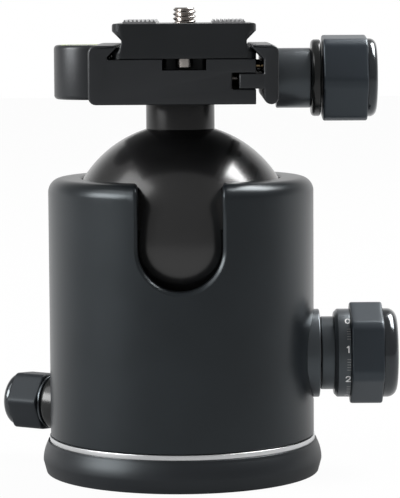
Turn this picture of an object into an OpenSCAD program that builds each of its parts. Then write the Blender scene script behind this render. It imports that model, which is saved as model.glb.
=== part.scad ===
// Tripod ball head with a drop notch, a tension dial and a screw-knob quick-release clamp.
// Millimetres. Z = 0 is the underside of the base, and the pan axis is the Z axis.
// The lock knob and the clamp knob point along +X, and the drop notch opens towards -Y.

/* [Base] */
// Thickness of the base plate
base_h = 8.8; // [8:0.1:12]
// How far the foot of the base plate stands out past the housing
base_flare = 2.1; // [1.5:0.1:4]
// How far the top rim of the base plate stands out past the housing
base_rim = 0.8; // [0.5:0.1:1.3]
// Height of the crease below which the base plate draws in
crease_h = 3.4; // [2:0.1:5]
// How far the base plate draws in below the crease
draw_in = 0.9; // [0.4:0.1:1.5]
// Height of the bright scale ring
ring_h = 1.35; // [0.7:0.05:1.8]
// Radial width of the bright scale ring
ring_w = 2.6; // [2:0.1:4]
// Wall radius of the tapped tripod hole
tripod_hole_r = 4.0; // [4:0.05:4.3]
// Depth of the tapped tripod hole
tripod_hole_l = 12; // [10:0.5:14]
// Outer radius of the threaded insert
insert_r = 6.5; // [6:0.1:8]
// Radius of the spindle that the housing turns on
spindle_r = 20; // [18:0.5:21]
// Depth of the spindle's locking groove
groove_d = 2.4; // [1.5:0.1:3]
// Thickness of the retaining flange
flange_h = 2.2; // [2:0.1:3]
// How far the retaining flange laps over the carrier plate
flange_lap = 4; // [2:0.5:4]
// Radius of the spindle screws' shanks
spindle_screw_r = 2; // [1.5:0.1:2.5]
// Distance of the spindle screws from the pan axis
spindle_screw_ring = 13; // [12:0.5:14]
// Depth to which the spindle screws enter the base plate
spindle_screw_grip = 6.5; // [4:0.5:7]

/* [Housing] */
// Wall of the housing beside the ball
wall = 4.3; // [4:0.1:6]
// Free space between the ball and the bore of the housing
bore_gap = 0.6; // [0.4:0.1:1.2]
// How far the mouth laps over the ball, measured along its radius
mouth_lap = 4.3; // [3.5:0.1:5]
// Gap between the ball and the edge of the mouth
lip_gap = 0.6; // [0.4:0.1:1]
// Rounding of the outer top edge
crown_f = 3.8; // [2:0.1:4]
// Rounding of the inner top edge
mouth_f = 1; // [0.4:0.1:1.5]
// Width of the drop notch
notch_w = 22.5; // [21:0.1:26]
// Rounding of the notch's top corners
notch_f = 1.6; // [0.8:0.1:3]
// Thickness of the carrier plate round the spindle
carrier_h = 9.6; // [9:0.1:12]
// Radial step from the housing's skin to the carrier plate
carrier_wall = 2.9; // [2:0.1:3.5]

/* [Ball and neck] */
// Radius of the ball
ball_r = 31.6; // [28:0.1:34]
// Radius of the neck
neck_r = 9.4; // [8:0.1:9.9]
// Length of the neck above the ball
neck_l = 6.2; // [5:0.1:10]
// Radius of the bolt that holds the clamp on the neck
bolt_r = 3; // [2:0.1:3]
// Height of the upper race round the ball
race_h = 9.4; // [6:0.1:11]

/* [Brake] */
// Thickness of the wedge plate
wedge_t = 2; // [1.5:0.1:3]
// Half width of the wedge plate
wedge_hw = 19; // [18:0.5:20]
// Height of the ramps on the wedge
ramp_h = 4.4; // [3:0.1:6]
// Length of the ramps on the wedge
ramp_l = 12; // [10:0.5:14]
// Width of the ramps on the wedge
ramp_w = 9; // [6:0.5:10]
// Space between the ramps and the lowest point of the ball
ball_clear = 3.7; // [2:0.1:5]
// Inner radius of the brake cup
cup_r = 18; // [16:0.5:20]
// Height of the brake cup
cup_h = 19.2; // [16:0.1:22]
// Distance that the lock shaft travels when it is let go
lock_travel = 0.94; // [0.5:0.01:1.2]

/* [Main lock knob] */
// Radius of the lock shaft
shaft_r = 4; // [3:0.1:4.5]
// Height of the shaft's axis above the lowest point of the ball
shaft_rise = -0.6; // [-1:0.1:0]
// Radius of the fixed collar and the tension dial
dial_r = 12.2; // [11:0.1:13]
// Width of the fixed collar outside the housing
lock_collar_l = 1.5; // [1:0.1:3]
// Gap between the fixed collar and the knob
lock_gap = 0.4; // [0.2:0.1:1]
// Length of the knob's neck
lock_neck_l = 3.5; // [2:0.1:5]
// Radius of the knob's neck
lock_neck_r = 10.1; // [9.5:0.1:11]
// Width of the tension dial
dial_w = 4.3; // [3:0.1:7]
// Length of the rubber grip
lock_grip_l = 9; // [7:0.1:14]
// Radius of the grip over its rounded corners
lock_grip_r = 14; // [12.9:0.1:15]
// Distance across two opposite flats of the grip
lock_flats = 25.4; // [24:0.1:26.5]
// Turn of the grip's first corner from the front
lock_turn = 41; // [0:0.1:60]
// Radius of the end cap
lock_cap_r = 12.3; // [10:0.1:12.5]
// Height of the end cap
lock_cap_h = 4; // [3.5:0.1:5]
// Rounding of the end cap
lock_cap_f = 2.8; // [1:0.1:3]

/* [Pan lock knob] */
// Direction of the pan knob round the pan axis
pan_dir = 150; // [120:1:210]
// Height of the pan screw's axis above the housing's underside
pan_rise = 5.5; // [5.2:0.1:6]
// Radius of the pan screw
pan_screw_r = 2.5; // [2:0.1:3]
// Radius of the pan pad
pan_pad_r = 2.2; // [1.8:0.1:2.4]
// Distance that the pan pad travels when it is let go
pan_travel = 0.6; // [0.3:0.05:1]
// Radius of the pan knob's collar
pan_collar_r = 7.9; // [7:0.1:9]
// Length of the pan knob's collar
pan_collar_l = 7.4; // [5:0.1:9]
// Length of the pan grip
pan_grip_l = 10.5; // [8:0.1:14]
// Radius of the pan grip over its rounded corners
pan_grip_r = 8.3; // [7:0.1:9]
// Distance across two opposite flats of the pan grip
pan_flats = 14.8; // [13:0.1:15.5]
// Turn of the pan grip's first corner from the front
pan_turn = 2; // [0:1:60]
// Radius of the pan knob's cap
pan_cap_r = 7.3; // [5:0.1:7.4]
// Height of the pan knob's cap
pan_cap_h = 2.3; // [2:0.1:4]
// Rounding of the pan knob's cap
pan_cap_f = 1.6; // [0.5:0.1:1.8]

/* [Clamp] */
// Length of the clamp along the dovetail
clamp_l = 60; // [50:1:70]
// Height of the clamp's floor above its underside
clamp_floor_h = 11.9; // [11.4:0.1:14]
// Height of both jaws above the floor
jaw_rise = 3.7; // [3.6:0.1:4.5]
// Thickness of the fixed jaw
fixed_jaw_t = 5.2; // [4:0.1:8]
// Free space beside the foot of the plate
relief_w = 1.1; // [0.8:0.1:1.4]
// Gap between the clamp base and the moving jaw
jaw_gap = 2; // [1.5:0.1:3]
// Thickness of the moving jaw
jaw_t = 4; // [4:0.1:6]
// Distance that the moving jaw opens
jaw_travel = 6; // [4:0.5:6]
// Height of the clamp screw above the underside
screw_rise = 6.1; // [5.9:0.05:6.1]
// Thickness of the jaw's tongue
tongue_t = 4; // [3:0.1:4]
// Length of the jaw's tongue
tongue_l = 6.5; // [4:0.1:7]
// Free space past the end of the tongue
tongue_end = 1.8; // [1:0.1:3]
// Distance of the guide pins from the clamp's ends
guide_inset = 7; // [5:0.5:10]
// Rounding of the clamp's long edges
clamp_f = 2; // [1:0.1:2.2]
// Length of the level lobe past the fixed jaw
lobe_l = 10.5; // [9:0.1:14]
// Half width of the level lobe
lobe_hw = 11.5; // [10:0.1:16]
// Radius of the spirit level
level_r = 6; // [4:0.1:6.5]
// Depth of the spirit level
level_h = 4.2; // [3:0.1:6]
// Width of the stop pockets in the floor
pocket_w = 11.6; // [8:0.1:14]
// Length of the stop pockets from the clamp's ends
pocket_l = 12; // [9:0.1:14]
// Depth of the stop pockets
pocket_d = 2.9; // [2.6:0.1:3]

/* [Clamp knob] */
// Radius of the clamp screw
clamp_screw_r = 2.5; // [2:0.1:2.5]
// Radius of the jaw's collar
jaw_collar_r = 8.2; // [6:0.1:8.5]
// Length of the jaw's collar
jaw_collar_l = 9.5; // [8:0.1:14]
// Radius of the knob's flange
clamp_flange_r = 10.5; // [9:0.1:11]
// Width of the knob's flange
clamp_flange_w = 2.7; // [2:0.1:4]
// Length of the clamp grip
clamp_grip_l = 12; // [8:0.1:15]
// Radius of the clamp grip over its rounded corners
clamp_grip_r = 11.8; // [11:0.1:13]
// Distance across two opposite flats of the clamp grip
clamp_flats = 22; // [20:0.1:22.5]
// Turn of the clamp grip's first corner from the front
clamp_turn = 54; // [0:1:60]
// Radius of the clamp knob's cap
clamp_cap_r = 10.6; // [9:0.1:11]
// Height of the clamp knob's cap
clamp_cap_h = 3.2; // [2.5:0.1:5]
// Rounding of the clamp knob's cap
clamp_cap_f = 2; // [1:0.1:2.4]

/* [Camera plate] */
// Width of the dovetail foot and of the top
plate_w = 38; // [37:0.1:39]
// Depth of the vee in each side of the plate
vee = 2.5; // [2:0.1:2.8]
// How far the plate's ends stand back from the clamp's
plate_back = 0.5; // [0:0.1:1]
// Height of the plate
plate_h = 9.3; // [9:0.1:12]
// Height of the foot's upright edge
foot_edge = 1.6; // [1.2:0.1:2]
// Height of the upright part of the waist
waist_h = 0.8; // [0.4:0.1:1.5]
// Offset of the plate from the neck's axis
plate_x = 1.3; // [0:0.1:2]
// Rounding of the plate's corners
plate_f = 3; // [1:0.1:4]
// Width of each rubber pad
pad_w = 8.8; // [6:0.1:9.5]
// Distance from the plate's middle to the pads
pad_inset = 7.4; // [7:0.1:9]
// Margin between the pads and the plate's ends
pad_margin = 2.4; // [2:0.1:6]
// Thickness of the pads below their ribs
pad_t = 1.1; // [0.8:0.1:2]
// Depth to which the pads are let into the plate
pad_sink = 0.6; // [0.3:0.1:0.7]
// Height of the ribs on the pads
rib_h = 0.5; // [0.3:0.05:0.8]
// Spacing of the ribs on the pads
rib_pitch = 1.1; // [0.9:0.05:1.5]
// Radius of the camera screw over its thread
camera_screw_r = 3.175; // [3.1:0.005:3.2]
// Radius of the camera screw's shank below the thread
camera_shank_r = 2.4; // [2:0.1:2.6]
// Length of the camera screw above the plate
camera_screw_l = 5.3; // [4:0.1:6]
// Radius of the camera screw's head
camera_head_r = 6.8; // [5.5:0.1:7]
// Height of the camera screw's head
camera_head_h = 3.6; // [3:0.1:4]
// Distance from the middle to which the camera screw slides each way
screw_travel = 10; // [5:0.5:12]
// Radius of the stop screws' heads
stop_r = 2.25; // [1.8:0.05:2.5]
// Length of the stop screws below the plate
stop_l = 2.4; // [2:0.1:2.5]
// Distance of the stop screws from the plate's ends
stop_inset = 4; // [3.5:0.1:4.2]

/* [Fits] */
// Radial clearance of turning and sliding parts
fit = 0.05; // [0.03:0.01:0.1]
// Clearance of pieces that are fastened together
seat = 0.02; // [0.01:0.01:0.05]
// Gap between faces that pass each other
gap = 0.1; // [0.1:0.05:0.2]
// Clearance round the ball
ball_fit = 0.08; // [0.05:0.01:0.1]

/* [Hidden] */
$fn = 96;
over = 1;                 // how far a cut runs past the face that it opens
hair = 0.01;              // overlap that joins two solids of one piece
edge_f = 0.4;             // rounding of small turned edges
grip_f = 0.6;             // rounding of the grips' end edges

// Radii round the pan axis
bore_r = ball_r + bore_gap;
body_r = bore_r + wall;
mouth_r = ball_r - mouth_lap;
carrier_r = body_r - carrier_wall;
flange_r = spindle_r + flange_lap;

// Heights, from the tripod upwards
body_z = base_h + ring_h + gap;
flange_z = body_z + carrier_h + gap;
rail_z = flange_z + flange_h + 6 * gap;
wedge_z = rail_z + fit;
wedge_top = wedge_z + wedge_t;
ball_z = wedge_top + ramp_h + ball_clear + ball_r;
body_top = ball_z + sqrt(pow(ball_r, 2) - pow(mouth_r - lip_gap, 2));
shaft_z = ball_z - ball_r + shaft_rise;
lip_h = 2.7;
lip_z = body_top - lip_h;
clamp_z = ball_z + ball_r + neck_l;
floor_z = clamp_z + clamp_floor_h;
jaw_top = floor_z + jaw_rise;
screw_z = clamp_z + screw_rise;
plate_z = floor_z + gap;
plate_top = plate_z + plate_h;

// Spindle groove and pan lock
groove_z = body_z + pan_rise;
pad_tip_r = 0.5;
pad_cone = pan_pad_r - pad_tip_r;
pad_start = spindle_r - groove_d + pad_tip_r + 2 * gap;
pad_guide = 2.8;
pad_shank = pan_travel + pad_guide;
pad_end = pad_start + pad_cone + pad_shank;
pan_stand = 0.7;
pan_seat = body_r + base_rim + pan_stand;
pan_knob_x = body_r + pan_collar_l + 2 * gap;
pan_core_r = 4.5;
pan_core_t = 0.5;
pan_bush_r = 5;

// Wedge ramps
ramp_slope = ramp_h / ramp_l;
ramp_starts = [-22, 8];
ramp_play = lock_travel + 0.6;
cup_drop = 0.25;
cup_z = wedge_top + ramp_slope * lock_travel + cup_drop;
cup_fit_r = bore_r - gap;
rail_r = flange_r + 0.5;
tab_wall = 1.5;
tab_r = shaft_r + tab_wall;
tab_inset = 10.1;
tab_x = bore_r - tab_inset;
tab_t = 2.9;
clip_t = 1.4;
cup_slot_gap = 0.6;
cup_slot_hw = tab_r + cup_slot_gap + 5 * gap;
cup_slot_z = shaft_z + tab_r + ramp_slope * lock_travel + cup_slot_gap;

// Main lock knob, along X
spot_x = sqrt(pow(body_r, 2) - pow(dial_r, 2)) - gap;
spot_gap = 0.6;
spot_r = dial_r + spot_gap;
lock_collar_x = body_r + lock_collar_l;
lock_knob_x = lock_collar_x + lock_gap;
dial_x = lock_knob_x + lock_neck_l + gap;
lock_grip_x = dial_x + dial_w + gap;
lock_cap_x = lock_grip_x + lock_grip_l;
neck_step = 1.5;
lock_core_r = lock_neck_r - neck_step;
bush_r = 7;

// Clamp, along X
plate_l = clamp_l - 2 * plate_back;
foot_l = plate_x - plate_w / 2;
foot_r = plate_x + plate_w / 2;
clamp_left = foot_l - relief_w - fixed_jaw_t;
clamp_right = foot_r - gap;
jaw_x = clamp_right + jaw_gap;
tongue_slot = tongue_t + 3 * gap;
tongue_x = jaw_x - tongue_l;
jaw_end = jaw_x + jaw_t;
clamp_knob_x = jaw_end + jaw_collar_l + gap;
clamp_grip_x = clamp_knob_x + clamp_flange_w;
clamp_cap_x = clamp_grip_x + clamp_grip_l;
clamp_core_r = 6;
clamp_screw_end = 1.5;
clamp_screw_x = bolt_r + clamp_screw_end;
lip_d = gap * sqrt(2);
lip_nose = 0.6;
level_margin = 1.6;
level_x = clamp_left - lobe_l + level_r + level_margin;
level_wall = 1;
lobe_lift = 0.7;
lobe_z = clamp_z + lobe_lift;
lobe_top = jaw_top - gap;
lobe_f = 7;
bolt_head_h = 2.8;
bolt_rim = 0.4;
flange_f = 1;

// Guide pins and springs of the moving jaw
pin_r = 0.8;
pin_hold = 7;
pin_l = jaw_travel + pin_hold;
pin_y = clamp_l / 2 - guide_inset;
pin_depth = 1.9;
pin_z = floor_z - pin_depth;
pin_bore_r = 1.35;
pin_bore_l = pin_l - jaw_gap + over;
spring_wire_r = 0.18;
spring_mean_r = (pin_r + pin_bore_r) / 2;
spring_l = pin_bore_l + jaw_gap - 2 * gap;
spring_turns = 9;
spring_sides = 6;
spring_steps = 10;

// Camera plate and its screw
slot_top_w = 2 * camera_screw_r + 4 * gap;
slot_low_w = 2 * camera_head_r + 8 * gap;
web_d = 4.1;
web_z = plate_top - web_d;
washer_t = 0.5;
washer_z = web_z - washer_t - fit;
head_z = washer_z - fit - camera_head_h;
thread_gap = 0.3;
rib_w = 0.55;
pad_l = plate_l - 2 * pad_margin;
stop_y = plate_l / 2 - stop_inset;
stop_shank_r = 1.5;
stop_shank_l = 4;

// ---- Shared shapes ----

// Half outline of a turned piece with its low and high outer edges rounded
module turned_2d(r, h, lo = 0, hi = 0) {
    translate([0, lo]) square([r, h - lo - hi]);
    square([r - lo, h / 2]);
    translate([0, h / 2]) square([r - hi, h / 2]);
    if (lo > 0) translate([r - lo, 0]) intersection() {
        translate([0, lo]) circle(lo);
        square(lo);
    }
    if (hi > 0) translate([r - hi, h - hi]) intersection() {
        circle(hi);
        square(hi);
    }
}

module turned(r, h, lo = 0, hi = 0) {
    rotate_extrude() turned_2d(r, h, lo, hi);
}

module ring(r_out, r_in, h) {
    difference() {
        cylinder(r = r_out, h = h);
        translate([0, 0, -over]) cylinder(r = r_in, h = h + 2 * over);
    }
}

// Puts a piece that is drawn along Z on an axis along +X
module along_x(x, z) {
    translate([x, 0, z]) rotate([0, 90, 0]) children();
}

// Puts a piece that is drawn along Z on the pan knob's axis
module along_pan(r) {
    rotate([0, 0, pan_dir]) translate([r, 0, groove_z]) rotate([0, 90, 0]) children();
}

// Six-sided grip with its corners turned round and its end edges rounded
module grip(r, flats, l, bore, f) {
    difference() {
        intersection() {
            cylinder(r = flats / sqrt(3), h = l, $fn = 6);
            turned(r, l, f, f);
        }
        translate([0, 0, -over]) cylinder(r = bore, h = l + 2 * over);
    }
}

// Rectangle with rounded corners, centred
module round_rect(w, l, f) {
    square([w - 2 * f, l], center = true);
    square([w, l - 2 * f], center = true);
    for (x = [-1, 1], y = [-1, 1]) translate([x * (w / 2 - f), y * (l / 2 - f)]) circle(f);
}

// Pushes an outline drawn in X and Z along Y, centred on Y = 0
module along_y(l) {
    translate([0, l / 2, 0]) rotate([90, 0, 0]) linear_extrude(l) children();
}

// ---- Base ----

module base_plate() {
    foot_r = body_r + base_flare;
    rim_r = body_r + base_rim;
    flare_n = 8;
    flare = [for (i = [0 : flare_n])
        let (t = i / flare_n)
        [foot_r - (foot_r - rim_r) * t * t, crease_h + (base_h - crease_h) * t]];
    relief_in = 14;
    relief_out = 28;
    relief_d = 0.6;
    color([0.16, 0.17, 0.18]) difference() {
        rotate_extrude() polygon(concat([[0, 0], [foot_r - draw_in, 0]], flare, [[0, base_h]]));
        translate([0, 0, -over]) cylinder(r = insert_r + seat, h = base_h + 2 * over);
        translate([0, 0, -over]) ring(relief_out, relief_in, relief_d + over);
        at_spindle_screws() translate([0, 0, base_h - spindle_screw_grip])
            cylinder(r = spindle_screw_r + seat, h = spindle_screw_grip + over);
    }
}

module thread_insert() {
    color([0.72, 0.72, 0.72]) ring(insert_r, tripod_hole_r, tripod_hole_l);
}

module at_spindle_screws() {
    for (a = [30, 150, 270]) rotate([0, 0, a]) translate([spindle_screw_ring, 0, 0]) children();
}

module spindle() {
    h = flange_z - base_h - seat;
    groove_h = groove_z - base_h;
    color([0.62, 0.63, 0.64]) difference() {
        translate([0, 0, base_h]) rotate_extrude() polygon([
            [0, 0], [spindle_r, 0], [spindle_r, groove_h - groove_d], [spindle_r - groove_d, groove_h],
            [spindle_r, groove_h + groove_d], [spindle_r, h], [0, h]
        ]);
        cylinder(r = insert_r + seat, h = tripod_hole_l + seat);
        at_spindle_screws() cylinder(r = spindle_screw_r + seat, h = flange_z);
    }
}

module screw_head(grow) {
    r = spindle_screw_r + grow;
    slant = flange_h - 0.3;
    rotate_extrude() polygon([[0, 0], [r, 0], [r + slant, slant], [r + slant, flange_h], [0, flange_h]]);
}

module retaining_flange() {
    color([0.62, 0.63, 0.64]) difference() {
        translate([0, 0, flange_z]) cylinder(r = flange_r, h = flange_h);
        at_spindle_screws() translate([0, 0, flange_z - over])
            cylinder(r = spindle_screw_r + seat, h = 2 * over);
        at_spindle_screws() translate([0, 0, flange_z + hair]) screw_head(seat);
    }
}

module spindle_screws() {
    socket_r = 1.45;
    socket_d = 1.6;
    tip_z = base_h - spindle_screw_grip + seat;
    color([0.3, 0.3, 0.31]) at_spindle_screws() difference() {
        union() {
            translate([0, 0, tip_z]) cylinder(r = spindle_screw_r, h = flange_z + 2 * hair - tip_z);
            translate([0, 0, flange_z + hair]) screw_head(0);
        }
        translate([0, 0, flange_z + flange_h - socket_d])
            cylinder(r = socket_r, h = socket_d + over, $fn = 6);
    }
}

module glide_washer() {
    color([0.9, 0.9, 0.86]) translate([0, 0, base_h])
        ring(body_r + seat - ring_w - gap, spindle_r + gap, ring_h);
}

module scale_ring() {
    stand_out = 0.25;
    color([0.8, 0.8, 0.78]) translate([0, 0, base_h])
        ring(body_r + stand_out, body_r + seat - ring_w, ring_h);
}

// ---- Housing ----

module notch_2d() {
    r = notch_w / 2;
    rise = body_top - ball_z;
    circle(r);
    translate([-r, 0]) square([notch_w, rise + over]);
    difference() {
        translate([-r - notch_f, rise - notch_f]) square([notch_w + 2 * notch_f, notch_f + over]);
        for (s = [-1, 1]) translate([s * (r + notch_f), rise - notch_f]) circle(notch_f);
    }
}

// Cut of the drop notch, from the middle of the ball out through the front wall
module drop_notch() {
    translate([0, -ball_r / 2, ball_z]) rotate([90, 0, 0]) linear_extrude(body_r) notch_2d();
}

module housing() {
    rise = body_top - lip_z;
    cavity_gap = 0.3;
    color([0.17, 0.18, 0.19]) difference() {
        translate([0, 0, body_z]) turned(body_r, body_top - body_z, edge_f, crown_f);
        translate([0, 0, body_z - over]) cylinder(r = carrier_r + seat, h = rail_z - body_z + over);
        translate([0, 0, body_z]) cylinder(r = bore_r, h = lip_z - body_z);
        translate([0, 0, ball_z]) sphere(ball_r + cavity_gap);
        translate([0, 0, lip_z - over]) rotate_extrude() {
            square([mouth_r, rise + 2 * over]);
            difference() {
                translate([0, rise + over - mouth_f]) square([mouth_r + mouth_f, mouth_f + over]);
                translate([mouth_r + mouth_f, rise + over - mouth_f]) circle(mouth_f);
            }
        }
        drop_notch();
        along_x(spot_x, shaft_z) cylinder(r = spot_r, h = body_r);
        along_x(bore_r - over, shaft_z) cylinder(r = bush_r + seat, h = body_r);
        along_pan(carrier_r - over) cylinder(r = pan_bush_r + seat, h = body_r);
    }
}

module carrier_plate() {
    color([0.5, 0.5, 0.52]) difference() {
        union() {
            translate([0, 0, body_z]) cylinder(r = carrier_r, h = rail_z - body_z);
            translate([0, 0, rail_z - hair]) difference() {
                cylinder(r = bore_r - seat, h = wedge_t - gap + hair);
                translate([-body_r, -wedge_hw - fit, hair])
                    cube([2 * body_r, 2 * (wedge_hw + fit), wedge_t + over]);
                translate([0, 0, -over]) cylinder(r = rail_r, h = wedge_t + 2 * over);
            }
        }
        translate([0, 0, body_z - over]) cylinder(r = spindle_r + fit, h = carrier_h + 2 * over);
        translate([0, 0, body_z + carrier_h]) cylinder(r = rail_r, h = wedge_t + flange_h + over);
        along_pan(spindle_r - over) cylinder(r = pan_pad_r + fit, h = body_r);
        along_pan(pad_end) cylinder(r = pan_screw_r + fit, h = body_r);
    }
}

module upper_race() {
    z = lip_z - race_h;
    color([0.85, 0.84, 0.8]) difference() {
        translate([0, 0, z]) ring(bore_r - seat, mouth_r - over, race_h - gap);
        translate([0, 0, ball_z]) sphere(ball_r + ball_fit);
        drop_notch();
    }
}

module lock_bush() {
    inner_x = bore_r - gap;
    color([0.17, 0.18, 0.19]) difference() {
        union() {
            along_x(inner_x, shaft_z) cylinder(r = bush_r, h = spot_x - inner_x + 2 * hair);
            along_x(spot_x + hair, shaft_z) turned(dial_r, lock_collar_x - spot_x, 0, edge_f);
        }
        along_x(inner_x - over, shaft_z) cylinder(r = shaft_r + fit, h = body_r);
    }
}

module pan_bush() {
    start = carrier_r + gap;
    color([0.1, 0.1, 0.11]) difference() {
        union() {
            along_pan(start) cylinder(r = pan_bush_r, h = pan_seat + over - start);
            along_pan(pan_seat)
                turned(pan_collar_r, body_r + pan_collar_l - pan_seat, edge_f, edge_f);
        }
        along_pan(0) cylinder(r = pan_screw_r + fit, h = 2 * body_r);
    }
}

// ---- Brake ----

module lock_wedge() {
    plate_r = cup_fit_r - lock_travel - 2 * gap;
    color([0.75, 0.68, 0.42]) difference() {
        union() {
            translate([0, 0, wedge_z]) linear_extrude(wedge_t) intersection() {
                circle(plate_r);
                square([2 * plate_r, 2 * wedge_hw], center = true);
            }
            for (s = [-1, 1], x = ramp_starts)
                translate([x, s * (wedge_hw - ramp_w / 2), wedge_top - hair]) along_y(ramp_w)
                    polygon([[0, 0], [ramp_l, 0], [ramp_l, ramp_h + hair], [0, hair]]);
            translate([tab_x, -tab_r, wedge_z]) cube([tab_t, 2 * tab_r, shaft_z - wedge_z]);
            along_x(tab_x, shaft_z) cylinder(r = tab_r, h = tab_t);
        }
        along_x(tab_x - over, shaft_z) cylinder(r = shaft_r + fit, h = tab_t + 2 * over);
    }
}

module brake_cup() {
    run = ramp_l + ramp_play;
    color([0.82, 0.8, 0.72]) difference() {
        translate([0, 0, cup_z]) ring(cup_fit_r, cup_r, cup_h);
        translate([0, 0, ball_z]) sphere(ball_r + ball_fit);
        for (s = [-1, 1], x = ramp_starts)
            translate([x, s * (wedge_hw - ramp_w / 2), wedge_top]) along_y(ramp_w + 4 * gap)
                polygon([[0, -over], [run, -over], [run, run * ramp_slope + fit], [0, fit]]);
        translate([cup_r - 4 * over, -cup_slot_hw, cup_z - over])
            cube([body_r, 2 * cup_slot_hw, cup_slot_z - cup_z + over]);
    }
}

// ---- Main lock knob ----

module lock_shaft() {
    tip_x = tab_x - clip_t - over;
    color([0.66, 0.66, 0.67]) {
        along_x(tip_x, shaft_z) cylinder(r = shaft_r, h = lock_cap_x - tip_x - over);
        along_x(tab_x + tab_t + gap, shaft_z) cylinder(r = tab_r, h = clip_t);
    }
}

module shaft_clip() {
    color([0.3, 0.3, 0.31]) along_x(tab_x - clip_t - gap, shaft_z) ring(tab_r, shaft_r + seat, clip_t);
}

module lock_knob_core() {
    color([0.15, 0.16, 0.17]) difference() {
        union() {
            along_x(lock_knob_x, shaft_z) turned(lock_neck_r, lock_neck_l, edge_f, 0);
            along_x(lock_knob_x, shaft_z) cylinder(r = lock_core_r, h = lock_cap_x - lock_knob_x);
        }
        along_x(lock_knob_x - over, shaft_z) cylinder(r = shaft_r + seat, h = body_r);
    }
}

module tension_dial() {
    chamfer = 0.9;
    color([0.2, 0.2, 0.21]) along_x(dial_x, shaft_z) difference() {
        rotate_extrude() polygon([
            [0, 0], [dial_r - chamfer, 0], [dial_r, chamfer], [dial_r, dial_w], [0, dial_w]
        ]);
        translate([0, 0, -over]) cylinder(r = lock_core_r + fit, h = dial_w + 2 * over);
    }
}

module lock_grip() {
    color([0.2, 0.22, 0.25]) along_x(lock_grip_x, shaft_z) rotate([0, 0, -90 - lock_turn])
        grip(lock_grip_r, lock_flats, lock_grip_l, lock_core_r + seat, grip_f);
}

module lock_cap() {
    color([0.08, 0.08, 0.09]) along_x(lock_cap_x, shaft_z) turned(lock_cap_r, lock_cap_h, 0, lock_cap_f);
}

// ---- Pan lock knob ----

module pan_pad() {
    l = pad_end - pad_start;
    color([0.78, 0.62, 0.3]) along_pan(pad_start)
        rotate_extrude() polygon([[0, 0], [pad_tip_r, 0], [pan_pad_r, pad_cone], [pan_pad_r, l], [0, l]]);
}

module pan_screw() {
    start = pad_end + fit;
    color([0.66, 0.66, 0.67]) along_pan(start)
        cylinder(r = pan_screw_r, h = pan_knob_x + pan_core_t + pan_grip_l - over - start);
}

module pan_knob_core() {
    color([0.15, 0.16, 0.17]) difference() {
        union() {
            along_pan(pan_knob_x) cylinder(r = pan_flats / 2, h = pan_core_t);
            along_pan(pan_knob_x) cylinder(r = pan_core_r, h = pan_core_t + pan_grip_l);
        }
        along_pan(0)
            cylinder(r = pan_screw_r + seat, h = pan_knob_x + pan_core_t + pan_grip_l - over + seat);
    }
}

module pan_grip() {
    color([0.2, 0.22, 0.25]) along_pan(pan_knob_x + pan_core_t) rotate([0, 0, 90 + pan_turn])
        grip(pan_grip_r, pan_flats, pan_grip_l, pan_core_r + seat, grip_f);
}

module pan_cap() {
    color([0.08, 0.08, 0.09]) along_pan(pan_knob_x + pan_core_t + pan_grip_l)
        turned(pan_cap_r, pan_cap_h, 0, pan_cap_f);
}

// ---- Ball and neck ----

module ball() {
    color([0.08, 0.08, 0.09]) translate([0, 0, ball_z]) sphere(ball_r);
}

module neck() {
    color([0.12, 0.12, 0.13]) difference() {
        translate([0, 0, ball_z + ball_r / 2])
            cylinder(r = neck_r, h = clamp_z - fit - ball_z - ball_r / 2);
        translate([0, 0, ball_z]) sphere(ball_r + fit);
        translate([0, 0, ball_z + ball_r]) cylinder(r = bolt_r + fit, h = neck_l + over);
    }
}

// ---- Clamp ----

// Line of a 45 degree lip, at the clearance from the foot of the plate
function lip_x(z) = z - plate_z - foot_edge - lip_d;

module clamp_section_2d() {
    z0 = clamp_z;
    slot_lo = screw_z - tongue_slot / 2;
    slot_hi = screw_z + tongue_slot / 2;
    slot_x = tongue_x - tongue_end;
    wall_x = foot_l - relief_w;
    wall_z = plate_z + foot_edge + lip_d - relief_w;
    nose_x = foot_l + lip_x(jaw_top - lip_nose);
    f = clamp_f;
    polygon([
        [clamp_left + f, z0], [clamp_right, z0], [clamp_right, slot_lo], [slot_x, slot_lo],
        [slot_x, slot_hi], [clamp_right, slot_hi], [clamp_right, floor_z], [wall_x, floor_z],
        [wall_x, wall_z], [nose_x, jaw_top - lip_nose], [nose_x, jaw_top], [clamp_left + f, jaw_top],
        [clamp_left, jaw_top - f], [clamp_left, z0 + f]
    ]);
    for (z = [z0 + f, jaw_top - f]) translate([clamp_left + f, z]) circle(f);
}

module clamp_base() {
    lobe_x = clamp_left - lobe_l;
    lobe_w = lobe_l + fixed_jaw_t - over;
    color([0.2, 0.21, 0.22]) difference() {
        union() {
            along_y(clamp_l) clamp_section_2d();
            translate([lobe_x + lobe_w / 2, 0, lobe_z]) linear_extrude(lobe_top - lobe_z)
                round_rect(lobe_w, 2 * lobe_hw, lobe_f);
            translate([clamp_left - over, -lobe_hw, lobe_z])
                cube([2 * over, 2 * lobe_hw, lobe_top - lobe_z]);
        }
        for (s = [-1, 1]) translate([0, s * (clamp_l / 2 - pocket_l / 2 + over / 2), floor_z - pocket_d])
            translate([plate_x - pocket_w / 2, -(pocket_l + over) / 2, 0])
                cube([pocket_w, pocket_l + over, pocket_d + over]);
        translate([0, 0, clamp_z - over]) cylinder(r = bolt_r + seat, h = clamp_floor_h + 2 * over);
        translate([0, 0, floor_z - bolt_head_h - seat]) bolt_head(seat, over);
        along_x(clamp_screw_x - over / 2, screw_z) cylinder(r = clamp_screw_r + fit, h = plate_w);
        for (s = [-1, 1]) translate([0, s * pin_y, 0]) along_x(clamp_right - pin_bore_l, pin_z)
            cylinder(r = pin_bore_r, h = pin_bore_l + over);
        translate([level_x, 0, lobe_top - level_h]) cylinder(r = level_r + seat, h = level_h + over);
    }
}

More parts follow.
